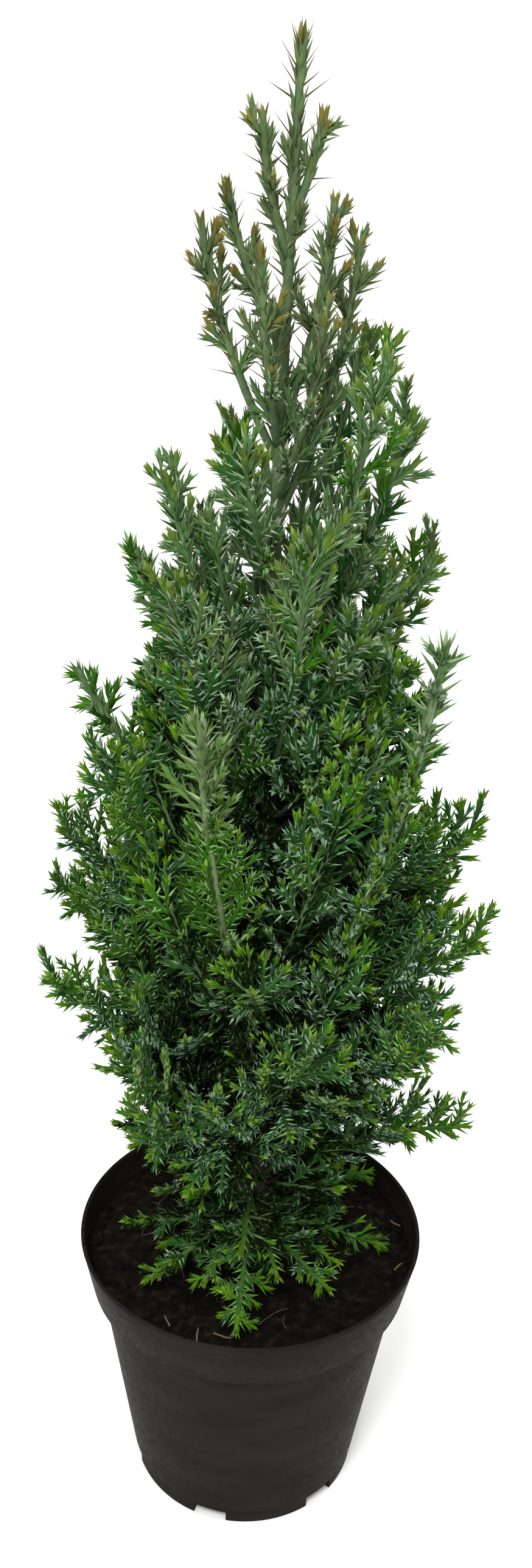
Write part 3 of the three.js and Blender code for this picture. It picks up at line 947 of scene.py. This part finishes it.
def grow_leader(seed):
    """The top of the trunk: long sharp needles in pairs and a closed bud."""
    rng = np.random.default_rng(seed)
    points = trunk_point(np.linspace(LEADER_FOOT, LEADER_TIP - LEADER_BUD, TOP_POINTS))
    across = outward(TOP_BEARING)
    tints = ("spire", "spire_tip")
    needle_tints = ("spire_needle", "spire_tip")
    leader = Shoot(points, across, TOP_RADII, 1, TOP_NEEDLES, *needle_tints, 0.0, TOP_BARE, TOP_BARE_END)
    scales = Shoot(points, across, TOP_RADII, 1, TOP_SCALES, *tints, 0.0, TOP_BARE, SCALES_BARE_END, "")
    bud = Shoot(points[-BUD_POINTS:], across, BUD_RADII, 2, BUD_NEEDLES, *tints, BUD_FRESH)
    shoots = [leader, scales, bud]
    for k, distance in enumerate(TOP_SIDES):
        side = side_shoot(leader, distance, math.radians(k * GOLDEN_ANGLE + TOP_FIRST), TOP_HABIT, rng)
        if side is not None:
            shoots.append(side)
    return shoots


# Needles

NEEDLE_SEED = 7
TUFT = np.array([1.8, 0.8])
TUFT_LEAN = 20.0
FRESH_WIDTH = 1.3
FIRST_PAIR, LAST_PAIR, LEAST_PLACE = 1.0, 0.4, 0.2
PLACE_SPREAD, TURN_SPREAD, LEAN_SPREAD = 0.25, 0.22, 6
LENGTH_SPREAD = (0.85, 1.15)
CLOSING_PAIRS, CLOSED_LENGTH, OPEN_GAIN = 2.6, 0.72, 0.28
NEEDLE_SEAT = 0.7
NEEDLE_WIDEST = 0.22
NEEDLE_AXIL = 0.34
NEEDLE_EDGE = 0.02
NEEDLE_TIP_LIFT = 0.05
NEEDLE_FACES = np.array([[3, 4, 1], [3, 2, 4], [0, 1, 4], [0, 4, 2], [3, 1, 0], [3, 0, 2]])
# The upper faces take the pale tint: waxy bloom with a painted highlight on it
NEEDLE_SIDES = ("keel", "upper")
KEEL, UPPER = 0, 1
NEEDLE_FACE_KINDS = np.array([UPPER, UPPER, KEEL, KEEL, KEEL, KEEL])


def needle_sites(shoot, rng):
    """Opposite pairs along a shoot, each square to the last, closing to a tuft at its tip."""
    needles = shoot.needles
    last = shoot.length - max(shoot.bare_end, LAST_PAIR)
    places = np.arange(max(shoot.bare, FIRST_PAIR), last, needles.spacing)
    if len(places) == 0:
        return None
    places = places + rng.uniform(-PLACE_SPREAD, PLACE_SPREAD, len(places)) * needles.spacing
    if not shoot.bare_end:
        places = np.concatenate([places, shoot.length - TUFT])
    places = np.clip(places, LEAST_PLACE, shoot.length)
    place, heading, radius = shoot.at(places)
    across = unit(shoot.across - (heading @ shoot.across)[:, None] * heading)
    other = np.cross(heading, across)
    turn = np.arange(len(places)) * math.pi / 2 + rng.normal(0, TURN_SPREAD, len(places))
    away = np.cos(turn)[:, None] * across + np.sin(turn)[:, None] * other
    away = np.concatenate([away, -away])
    place, heading = np.tile(place, (2, 1)), np.tile(heading, (2, 1))
    to_tip = np.tile(shoot.length - places, 2)
    closing = np.clip(to_tip / (CLOSING_PAIRS * needles.spacing), 0, 1)
    pressed = 1 - (1 - needles.press) * np.tile(np.sin(turn) ** 2, 2)
    spread = TUFT_LEAN + (needles.spread * pressed - TUFT_LEAN) * closing
    lean = np.radians(spread + rng.normal(0, LEAN_SPREAD, len(to_tip)))
    size = needles.length * (CLOSED_LENGTH + OPEN_GAIN * closing) * rng.uniform(*LENGTH_SPREAD, len(to_tip))
    place = place + away * (NEEDLE_SEAT * np.tile(radius, 2))[:, None]
    fresh = to_tip < shoot.fresh
    width = needles.width * np.where(fresh, FRESH_WIDTH, 1.0)
    foot = np.full(len(size), needles.foot)
    return place, heading, away, lean, size, width, foot, fresh


def needle_mesh(place, heading, away, lean, size, width, foot):
    """Awl-shaped needles of six faces: an axil, two sides, a foot down the stem and a sharp tip."""
    along, out = np.cos(lean)[:, None], np.sin(lean)[:, None]
    direction = heading * along + away * out
    face = heading * out - away * along
    sideways = np.cross(direction, face) * (width / 2)[:, None]
    middle = place + direction * (NEEDLE_WIDEST * size)[:, None] - face * (NEEDLE_EDGE * width)[:, None]
    corners = [
        place - heading * foot[:, None],
        middle - sideways,
        middle + sideways,
        place + heading * (NEEDLE_AXIL * width)[:, None],
        place + direction * size[:, None] + face * (NEEDLE_TIP_LIFT * size)[:, None],
    ]
    vertices = np.stack(corners, 1)
    triangles = NEEDLE_FACES[None] + (np.arange(len(vertices)) * len(corners))[:, None, None]
    return vertices.reshape(-1, 3), triangles.reshape(-1, 3), np.tile(NEEDLE_FACE_KINDS, len(vertices))


# Materials


class Finish:
    """A material, and the nodes that feed its shader."""

    def __init__(self, name, roughness, specular=0.5):
        self.material = bpy.data.materials.new(name)
        self.material.use_nodes = True
        self.tree = self.material.node_tree
        self.shader = self.tree.nodes["Principled BSDF"]
        self.feed(self.shader, {"Roughness": roughness, "Specular IOR Level": specular})

    def feed(self, node, inputs):
        """Link each named input to a socket, or set it to a value."""
        for name, value in inputs.items():
            if isinstance(value, bpy.types.NodeSocket):
                self.tree.links.new(value, node.inputs[name])
            else:
                node.inputs[name].default_value = value

    def add(self, kind, inputs, **settings):
        node = self.tree.nodes.new(kind)
        for name, value in settings.items():
            setattr(node, name, value)
        self.feed(node, inputs)
        return node

    def place(self):
        return self.add("ShaderNodeTexCoord", {}).outputs["Object"]

    def noise(self, scale, detail=4.0, stretch=None):
        place = self.place()
        if stretch:
            place = self.add("ShaderNodeMapping", {"Vector": place, "Scale": stretch}).outputs["Vector"]
        inputs = {"Vector": place, "Scale": scale, "Detail": detail}
        return self.add("ShaderNodeTexNoise", inputs).outputs["Fac"]

    def ramp(self, factor, *stops):
        """Colours that change over with a factor, from (position, colour) stops."""
        node = self.add("ShaderNodeValToRGB", {"Fac": factor})
        elements = node.color_ramp.elements
        while len(elements) < len(stops):
            elements.new(0.5)
        for element, (position, colour) in zip(elements, stops):
            element.position = position
            element.color = (*colour, 1.0)
        return node.outputs["Color"]

    def rise(self, low, high):
        """How far up a point is from one height to another, in millimetres."""
        height = self.add("ShaderNodeSeparateXYZ", {"Vector": self.place()}).outputs["Z"]
        inputs = {"Value": height, "From Min": low * MM, "From Max": high * MM}
        return self.add("ShaderNodeMapRange", inputs).outputs["Result"]

    def mix(self, factor, a, b, blend_type="MIX"):
        inputs = {"Factor": factor, "A": a, "B": b}
        return self.add("ShaderNodeMix", inputs, data_type="RGBA", blend_type=blend_type).outputs["Result"]

    def colour(self, socket):
        self.feed(self.shader, {"Base Color": socket})

    def bump(self, height, strength, distance):
        inputs = {"Height": height, "Strength": strength, "Distance": distance * MM}
        self.feed(self.shader, {"Normal": self.add("ShaderNodeBump", inputs).outputs["Normal"]})


# Tints: the green underside of a needle, and its pale upper side, partly waxy bloom and partly a painted
# highlight
TINTS = {
    # painted shade: near-black needles for the shadow inside the crown
    "deep": ((0.003, 0.010, 0.001), (0.011, 0.024, 0.006)),
    "blue": ((0.019, 0.076, 0.012), (0.180, 0.285, 0.175)),
    "mid": ((0.030, 0.116, 0.005), (0.178, 0.292, 0.108)),
    "fresh": ((0.060, 0.152, 0.005), (0.138, 0.245, 0.034)),
    "plume": ((0.080, 0.156, 0.050), (0.250, 0.330, 0.200)),
    "plume_tip": ((0.086, 0.150, 0.020), (0.155, 0.220, 0.055)),
    "pale": ((0.128, 0.190, 0.074), (0.240, 0.310, 0.165)),
    "pale_mid": ((0.082, 0.160, 0.034), (0.180, 0.265, 0.110)),
    "spire": ((0.093, 0.139, 0.054), (0.186, 0.221, 0.118)),
    "spire_needle": ((0.066, 0.068, 0.028), (0.104, 0.105, 0.052)),
    "spire_tip": ((0.138, 0.126, 0.028), (0.178, 0.170, 0.054)),
}
STEM_COLOURS = {"green": (0.047, 0.091, 0.028), "pale": (0.103, 0.158, 0.063)}
BARK_BROWN = ((0.3, (0.007, 0.005, 0.003)), (0.7, (0.030, 0.021, 0.013)))
BARK_GREEN = ((0.3, (0.050, 0.085, 0.030)), (0.7, (0.085, 0.140, 0.055)))
BARK_GREENING = (240.0, 360.0)
PLASTIC = ((0.38, (0.0116, 0.0108, 0.0092)), (0.72, (0.0200, 0.0185, 0.0158)))
PLASTIC_ROUGHNESS = ((0.3, (0.40, 0.40, 0.40)), (0.7, (0.58, 0.58, 0.58)))
FILM_PATCHES = ((0.55, (0.0, 0.0, 0.0)), (0.80, (0.4, 0.4, 0.4)))
FILM_COLOUR = (0.036, 0.036, 0.018, 1.0)
# Painted shade: the pot's colour is multiplied by this over the collar, fully at the rim
COLLAR_PAINTED_SHADE = (0.72, 0.72, 0.72, 1.0)
COLLAR_BAND = (COLLAR_FOOT - 4, POT_HEIGHT)
PEAT = ((0.3, (0.0015, 0.0012, 0.0008)), (0.55, (0.0044, 0.0034, 0.0022)), (0.75, (0.018, 0.013, 0.0075)))
BACKDROP = ((0.3, (0.90, 0.90, 0.895)), (0.7, (0.93, 0.93, 0.925)))


def uneven(colour, low, high, change):
    """Two ramp stops: a colour darkened at the low one, and lightened by as much at the high one."""
    darker, lighter = (tuple(channel * factor for channel in colour) for factor in (1 - change, 1 + change))
    return (low, darker), (high, lighter)


def needle_material(name, colour):
    """A waxy needle: its base colour a little uneven from needle to needle."""
    finish = Finish(name, roughness=0.55, specular=0.02)
    grain = finish.noise(scale=160.0, detail=2.0)
    finish.colour(finish.ramp(grain, *uneven(colour, low=0.35, high=0.65, change=0.22)))
    return finish.material


def stem_material(name, colour):
    finish = Finish(name, roughness=0.6)
    grain = finish.noise(scale=240.0, detail=3.0)
    finish.colour(finish.ramp(grain, *uneven(colour, low=0.3, high=0.7, change=0.3)))
    finish.bump(grain, strength=0.3, distance=0.3)
    return finish.material


def bark_material():
    """Thin brown bark with long flakes, greener towards the tip."""
    finish = Finish("bark", roughness=0.85)
    flakes = finish.noise(scale=90.0, detail=6.0, stretch=(3.0, 3.0, 0.5))
    brown = finish.ramp(flakes, *BARK_BROWN)
    green = finish.ramp(flakes, *BARK_GREEN)
    finish.colour(finish.mix(finish.rise(*BARK_GREENING), brown, green))
    finish.bump(flakes, strength=0.6, distance=0.6)
    return finish.material


def plastic_material():
    """Black polypropylene, dusty and lightly scuffed, with a faint green film on the collar and painted
    shade that darkens the collar towards the rim.
    """
    finish = Finish("pot_plastic", roughness=0.48, specular=0.012)
    base = finish.ramp(finish.noise(scale=34.0, detail=8.0, stretch=(0.6, 0.6, 2.4)), *PLASTIC)
    patches = finish.ramp(finish.noise(scale=19.0, detail=5.0), *FILM_PATCHES)
    collar = finish.rise(*COLLAR_BAND)
    film = finish.add("ShaderNodeMath", {0: patches, 1: collar}, operation="MULTIPLY").outputs["Value"]
    filmed = finish.mix(film, base, FILM_COLOUR)
    # painted shade: the collar darker towards the rim
    finish.colour(finish.mix(collar, filmed, COLLAR_PAINTED_SHADE, "MULTIPLY"))
    fine = finish.noise(scale=420.0, detail=5.0)
    finish.feed(finish.shader, {"Roughness": finish.ramp(fine, *PLASTIC_ROUGHNESS)})
    finish.bump(fine, strength=0.12, distance=0.4)
    return finish.material


def soil_material():
    """Damp dark peat with brown fibres."""
    finish = Finish("peat", roughness=0.92, specular=0.06)
    grain = finish.noise(scale=260.0, detail=8.0)
    finish.colour(finish.ramp(grain, *PEAT))
    finish.bump(grain, strength=0.7, distance=1.2)
    return finish.material


# Foliage

STEM_SIDES = {1: 8, 2: 4, 3: 3}
STEM_STEP = {1: 2, 2: 3, 3: 4}


def dress_needles(shoots):
    """The needles of all shoots, a run of pieces for each tint."""
    rng = np.random.default_rng(NEEDLE_SEED)
    foliage_nodes = nodes_named("foliage_")
    sites = {tint: [] for tint in TINTS}
    for shoot in shoots:
        found = needle_sites(shoot, rng)
        if found is None:
            continue
        fresh = found[-1]
        for tint, chosen in ((shoot.tint, ~fresh), (shoot.tip_tint, fresh)):
            if chosen.any():
                sites[tint].append([column[chosen] for column in found[:-1]])
    most = MAX_TRIANGLES // len(NEEDLE_FACES)
    for tint, rows in sites.items():
        if not rows:
            continue
        columns = [np.concatenate(column) for column in zip(*rows)]
        sides = zip(NEEDLE_SIDES, TINTS[tint])
        materials = [needle_material(f"needle_{tint}_{side}", colour) for side, colour in sides]
        for part, first in enumerate(range(0, len(columns[0]), most)):
            vertices, triangles, index = needle_mesh(*[column[first : first + most] for column in columns])
            name = f"needles_{tint}_{part + 1}"
            piece = mesh_object(name, vertices, triangles, materials, index, smooth=False)
            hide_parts(*foliage_nodes)


def dress_stems(shoots):
    """The stems of all shoots, a run of pieces for each kind."""
    parts = {kind: [] for kind in STEM_COLOURS}
    for shoot in shoots:
        if not shoot.stem:
            continue
        rings = max(2, math.ceil(len(shoot.points) / STEM_STEP[shoot.order]))
        keep = np.linspace(0, len(shoot.points) - 1, rings).round().astype(int)
        radii = np.linspace(*shoot.radii, rings)
        parts[shoot.stem].append(tube(shoot.points[keep], radii, STEM_SIDES[shoot.order]))
    for kind, tubes in parts.items():
        material = stem_material(f"stem_{kind}", STEM_COLOURS[kind])
        filled = np.cumsum([len(triangles) for _, triangles in tubes]) // MAX_TRIANGLES
        for part in range(filled[-1] + 1):
            chosen = [piece for piece, where in zip(tubes, filled) if where == part]
            stems = mesh_object(f"stems_{kind}_{part + 1}", *joined(chosen), [material])


# Trunk and bare boughs, with bark relief

BARK_RELIEF = 0.13
BARK_GRAIN = 1.7
BARK_RIDGES = 1.6
BARK_STRETCH = 7
TRUNK_SUNK = 2.0
TRUNK_RINGS, TRUNK_SIDES, TRUNK_SEED = 280, 20, 3
BARK_SHARE = 0.35
BARK_SIDES, BARK_SEED = 9, 10
BARK_SLENDERNESS, BARK_LEAST_RADIUS, BARK_MOST_RADIUS = 0.0125, 1.05, 2.3
BARK_TAPER = 0.8


def bark_tube(points, radii, sides, seed):
    """A tube whose skin has lengthwise ridges and flakes."""
    ring = np.stack(circle(sides), -1)
    relief = np.empty((len(points), sides))
    for row, (point, radius) in enumerate(zip(points, radii)):
        sample = np.column_stack([ring * radius * BARK_RIDGES, np.full(sides, point[2] / BARK_STRETCH)])
        relief[row] = noise_at(sample, BARK_GRAIN, seed)
    return tube(points, radii[:, None] * (1 + BARK_RELIEF * relief), sides)


def dress_wood(boughs):
    heights = np.linspace(SOIL_SURFACE - TRUNK_SUNK, TRUNK_TIP, TRUNK_RINGS)
    skin = bark_tube(trunk_point(heights), trunk_radius(heights), TRUNK_SIDES, TRUNK_SEED)
    trunk = mesh_object("trunk_bark", *skin, [bark_material()])
    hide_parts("trunk")
    tubes = []
    for k, bough in enumerate(boughs):
        points = bough_curve(bough)
        keep = max(LEAST_POINTS, round(len(points) * max(bough.bare, BARK_SHARE)))
        span = np.linalg.norm(points[-1] - points[0])
        radius = max(BARK_LEAST_RADIUS, min(BARK_MOST_RADIUS, BARK_SLENDERNESS * span))
        radii = np.linspace(radius, radius * BARK_TAPER, keep)
        tubes.append(bark_tube(points[:keep], radii, BARK_SIDES, k + BARK_SEED))
    piece = mesh_object("boughs_bark", *joined(tubes), [bark_material()])
    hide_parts(*nodes_named("bough_"))


# Pot


def pot_profile():
    """Radius and height round the pot's wall, with small rounds at its edges."""
    return [
        (0, 0),
        (FOOT_RADIUS - 12, 0),
        (FOOT_RADIUS - POT_EDGE, 0),
        (FOOT_RADIUS - 0.15, 0.15),
        (FOOT_RADIUS, POT_EDGE),
        (FOOT_RADIUS + 0.25, FOOT_HEIGHT - 1.0),
        (FOOT_RADIUS + 0.35, FOOT_HEIGHT - 0.4),
        (WALL_FOOT_RADIUS - 0.1, FOOT_HEIGHT - 0.1),
        (WALL_FOOT_RADIUS + 0.05, FOOT_HEIGHT + 0.4),
        (SHOULDER_RADIUS - 0.6, COLLAR_FOOT - 4.5),
        (SHOULDER_RADIUS, COLLAR_FOOT - 1.4),
        (SHOULDER_RADIUS + 0.9, COLLAR_FOOT - 0.5),
        (COLLAR_FOOT_RADIUS - POT_EDGE, COLLAR_FOOT - 0.1),
        (COLLAR_FOOT_RADIUS, COLLAR_FOOT + POT_EDGE),
        (RIM_RADIUS - 0.25, POT_HEIGHT - 1.6),
        (RIM_RADIUS, POT_HEIGHT - 0.9),
        (RIM_RADIUS - 0.1, POT_HEIGHT - 0.3),
        (RIM_RADIUS - 0.5, POT_HEIGHT),
        (RIM_RADIUS - POT_WALL + 0.4, POT_HEIGHT),
        (RIM_RADIUS - POT_WALL, POT_HEIGHT - 0.4),
        (COLLAR_FOOT_RADIUS - POT_WALL, COLLAR_FOOT),
        (SHOULDER_RADIUS - POT_WALL, COLLAR_FOOT - POT_WALL),
        (FOOT_RADIUS - POT_WALL, POT_FLOOR),
        (0, POT_FLOOR),
    ]


def notch_cutter(bearing):
    """A block across the edge of the pot's foot, to be cut away."""
    corners = np.array([[x, y, z] for x in (-1, 1) for y in (-1, 1) for z in (-1, 1)], float)
    corners *= (NOTCH_DEPTH, NOTCH_WIDTH / 2, NOTCH_HEIGHT)
    corners[:, 0] += FOOT_RADIUS
    ahead = outward(bearing)
    turn = np.column_stack([ahead, np.cross(UP, ahead), UP])
    faces = [(0, 1, 3, 2), (4, 6, 7, 5), (0, 4, 5, 1), (2, 3, 7, 6), (0, 2, 6, 4), (1, 5, 7, 3)]
    block = bpy.data.meshes.new("notch")
    block.from_pydata((corners @ turn.T * MM).tolist(), [], faces)
    return linked("notch", block)


def dress_pot():
    pot = mesh_object("pot_shell", *lathe(pot_profile(), POT_SEGMENTS), [plastic_material()])
    bpy.context.view_layer.objects.active = pot
    for k in range(NOTCH_COUNT):
        cutter = notch_cutter(NOTCH_BEARING + 360 * k / NOTCH_COUNT)
        cut = pot.modifiers.new("notch", "BOOLEAN")
        cut.operation = "DIFFERENCE"
        cut.solver = "EXACT"
        cut.object = cutter
        bpy.ops.object.modifier_apply(modifier=cut.name)
        bpy.data.objects.remove(cutter)
    pot.data.set_sharp_from_angle(angle=math.radians(POT_SHARP_ANGLE))
    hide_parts("pot")


# Soil

SOIL_SEGMENTS, SOIL_RINGS = 170, 60
SOIL_GAP, SOIL_RIM_GAP, SOIL_LIFT = 0.4, 1.9, 0.3
SOIL_MIDDLE = 0.6
SOIL_LUMPS = ((16, 1.1), (5.5, 0.8), (2.2, 0.45))  # size and height of each kind
SOIL_EDGE, SOIL_EDGE_DROP = (40.0, 62.0), 1.6

CRUMB_SEED = 21
ICOSAHEDRON_EDGE = 1.1  # just over the edge of one with unit radius
CRUMB_COUNT, CRUMB_REACH = 900, 60.0
CRUMB_LEAST, CRUMB_MORE, CRUMB_SKEW = 0.45, 1.3, 3
CRUMB_LUMPS, CRUMB_SHAPE = 0.3, (0.6, 1.3)
RIM_CRUMB_COUNT, RIM_CRUMB_SPREAD, RIM_CRUMB_SIZE = 26, 0.5, (0.25, 0.7)
RIM_CRUMB_INSET = 0.9

LITTER_SEED = 22
LITTER_POINTS, LITTER_SIDES = 7, 5
LITTER_BOW, LITTER_SUNK = 0.8, 0.6
STRAW_PLACES = [(-28.9, -42.8), (-17.5, -50.2), (-8.8, -49.3), (57.4, 14.3), (57.0, -10.4)]
FIBRE_COUNT, FIBRE_REACH = 40, 44.0
# Dead bits on the soil: their lengths, share of the full bow, radius and colour
STRAW = ((4.0, 8.0), 0.3, 0.38, (0.100, 0.066, 0.032))
FIBRE = ((6.0, 15.0), 1.0, 0.25, (0.024, 0.017, 0.010))


def soil_height(points):
    """Height of the lumpy surface, which sinks towards the wall of the pot."""
    radius = np.hypot(points[:, 0], points[:, 1])
    flat = np.column_stack([points[:, :2], np.zeros(len(points))])
    height = np.full(len(points), SOIL_SURFACE)
    for seed, (size, relief) in enumerate(SOIL_LUMPS, 1):
        height = height + relief * noise_at(flat, size, seed)
    return height - SOIL_EDGE_DROP * smooth_step(radius, *SOIL_EDGE)


def dress_soil():
    floor = (FOOT_RADIUS - POT_WALL - SOIL_GAP, POT_FLOOR + SOIL_LIFT)
    shoulder = (SHOULDER_RADIUS - POT_WALL - SOIL_GAP, COLLAR_FOOT - POT_WALL)
    side = ring_points(*zip(floor, shoulder), SOIL_SEGMENTS)
    radii = np.linspace(RIM_RADIUS - POT_WALL - SOIL_RIM_GAP, SOIL_MIDDLE, SOIL_RINGS)
    top = ring_points(radii, np.zeros(SOIL_RINGS), SOIL_SEGMENTS)
    top[:, 2] = soil_height(top)
    ends = np.outer([floor[1], SOIL_SURFACE], UP)
    peat = soil_material()
    soil = mesh_object("soil_peat", *closed(np.concatenate([side, top]), ends, SOIL_SEGMENTS), [peat])
    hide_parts("soil")
    dress_crumbs(peat)
    dress_litter()


def crumb_shape():
    """An icosahedron's corners and faces."""
    gold = (1 + math.sqrt(5)) / 2
    corners = []
    for a in (-1, 1):
        for b in (-gold, gold):
            corners.extend([(0, a, b), (a, b, 0), (b, 0, a)])
    corners = unit(np.array(corners, float))
    faces = []
    for i, j, k in combinations(range(len(corners)), 3):
        a, b, c = corners[[i, j, k]]
        if max(np.linalg.norm(a - b), np.linalg.norm(b - c), np.linalg.norm(a - c)) < ICOSAHEDRON_EDGE:
            faces.append((i, j, k) if np.dot(np.cross(b - a, c - a), a) > 0 else (i, k, j))
    return corners, np.array(faces)


def random_turn(rng):
    return np.array(Quaternion(unit(rng.normal(size=4))).to_matrix())


def dress_crumbs(peat):
    """Crumbs of peat all over the soil, and a few on the left of the rim."""
    rng = np.random.default_rng(CRUMB_SEED)
    corners, faces = crumb_shape()
    parts = []
    for _ in range(CRUMB_COUNT):
        radius = CRUMB_REACH * math.sqrt(rng.random())
        bearing = rng.uniform(0, 2 * math.pi)
        place = np.array([[radius * math.cos(bearing), radius * math.sin(bearing), 0.0]])
        place[0, 2] = soil_height(place)[0]
        size = CRUMB_LEAST + CRUMB_MORE * rng.random() ** CRUMB_SKEW
        lumps = corners * (1 + CRUMB_LUMPS * (rng.random((len(corners), 1)) - 0.5))
        lumps = lumps * (size * rng.uniform(*CRUMB_SHAPE, 3))
        parts.append((lumps @ random_turn(rng).T + place, faces))
    for _ in range(RIM_CRUMB_COUNT):
        bearing = rng.normal(math.pi, RIM_CRUMB_SPREAD)
        ahead = np.array([math.cos(bearing), math.sin(bearing), 0.0])
        place = ahead * (RIM_RADIUS - RIM_CRUMB_INSET) + UP * POT_HEIGHT
        lumps = corners * rng.uniform(*RIM_CRUMB_SIZE, 3)
        parts.append((lumps @ random_turn(rng).T + place, faces))
    crumbs = mesh_object("soil_crumbs", *joined(parts), [peat], smooth=False)


def dress_litter():
    """Tan bits of straw and darker root fibres that lie on the peat."""
    rng = np.random.default_rng(LITTER_SEED)
    fibre_places = rng.uniform(-FIBRE_REACH, FIBRE_REACH, (FIBRE_COUNT, 2))
    across = np.linspace(-0.5, 0.5, LITTER_POINTS)
    for kind, look, places in (("straw", STRAW, STRAW_PLACES), ("fibre", FIBRE, fibre_places)):
        lengths, bend, radius, colour = look
        parts = []
        for place in places:
            bearing = rng.uniform(0, 360)
            length = rng.uniform(*lengths)
            bow = (0.25 - across**2) * length * rng.uniform(-LITTER_BOW, LITTER_BOW) * bend
            line = np.outer(across * length, outward(bearing)) + np.outer(bow, outward(bearing + 90))
            line[:, :2] += place
            line[:, 2] = soil_height(line) + radius * LITTER_SUNK
            parts.append(tube(line, np.full(len(line), radius), LITTER_SIDES))
        piece = mesh_object(f"soil_{kind}", *joined(parts), [stem_material(f"soil_{kind}", colour)])


# Stage, light and camera


def dress_stage():
    """A wide pale floor whose far rim sweeps up, so that no edge of it shows from any side."""
    finish = Finish("backdrop", roughness=0.9, specular=0.1)
    finish.colour(finish.ramp(finish.noise(scale=3.0), *BACKDROP))
    sweep = np.linspace(0, math.pi / 2, FLOOR_STEPS)
    rim = FLOOR_RADIUS + FLOOR_RISE
    radii = np.concatenate([[FLOOR_MIDDLE], FLOOR_RADIUS + FLOOR_RISE * np.sin(sweep), [rim]])
    heights = np.concatenate([[0.0], FLOOR_RISE * (1 - np.cos(sweep)), [WALL_TOP]])
    faces = grid_triangles(len(radii), FLOOR_SEGMENTS)[:, ::-1].tolist()
    faces.append(tuple(range(FLOOR_SEGMENTS)))
    mesh = bpy.data.meshes.new("floor")
    mesh.from_pydata(ring_points(radii, heights, FLOOR_SEGMENTS).tolist(), [], faces)
    mesh.shade_smooth()
    mesh.materials.append(finish.material)
    floor = linked("floor", mesh)


def add_light(name, place, target, size, power):
    data = bpy.data.lights.new(name, "AREA")
    data.energy = power
    data.size = size
    light = linked(name, data)
    light.location = place
    light.rotation_euler = (Vector(target) - Vector(place)).to_track_quat("-Z", "Y").to_euler()


def set_light():
    world = bpy.data.worlds.new("studio")
    world.use_nodes = True
    background = world.node_tree.nodes["Background"]
    background.inputs["Color"].default_value = (1.0, 1.0, 1.0, 1.0)
    background.inputs["Strength"].default_value = WORLD_STRENGTH
    scene = bpy.context.scene
    scene.world = world
    scene.view_settings.view_transform = "Standard"
    add_light("overhead", **OVERHEAD_LIGHT)
    add_light("key", **KEY_LIGHT)


def set_camera():
    data = bpy.data.cameras.new("camera")
    data.lens = CAMERA_LENS
    data.sensor_width = CAMERA_SENSOR
    data.clip_start = CAMERA_NEAR
    camera = linked("camera", data)
    tilt = Matrix.Rotation(math.radians(90 - CAMERA_PITCH), 4, "X")
    roll = Matrix.Rotation(math.radians(CAMERA_ROLL), 4, "Z")
    camera.matrix_world = Matrix.Translation(CAMERA_PLACE) @ tilt @ roll
    bpy.context.scene.camera = camera


TOP_SEED = 500


def main():
    set_camera()
    set_light()
    dress_stage()
    boughs = all_boughs()
    leaders = [(bough_curve(bough), CLEARED[bough.name]) for bough in boughs if bough.name in CLEARED]
    leader_points = np.concatenate([points[-round(length / CURVE_STEP) :] for points, length in leaders])
    shoots = grow_leader(TOP_SEED)
    for seed, bough in enumerate(boughs, 1):
        shoots.extend(grow_bough(bough, seed, leader_points))
    dress_needles(shoots)
    dress_stems(shoots)
    dress_wood(boughs)
    dress_pot()
    dress_soil()


main()
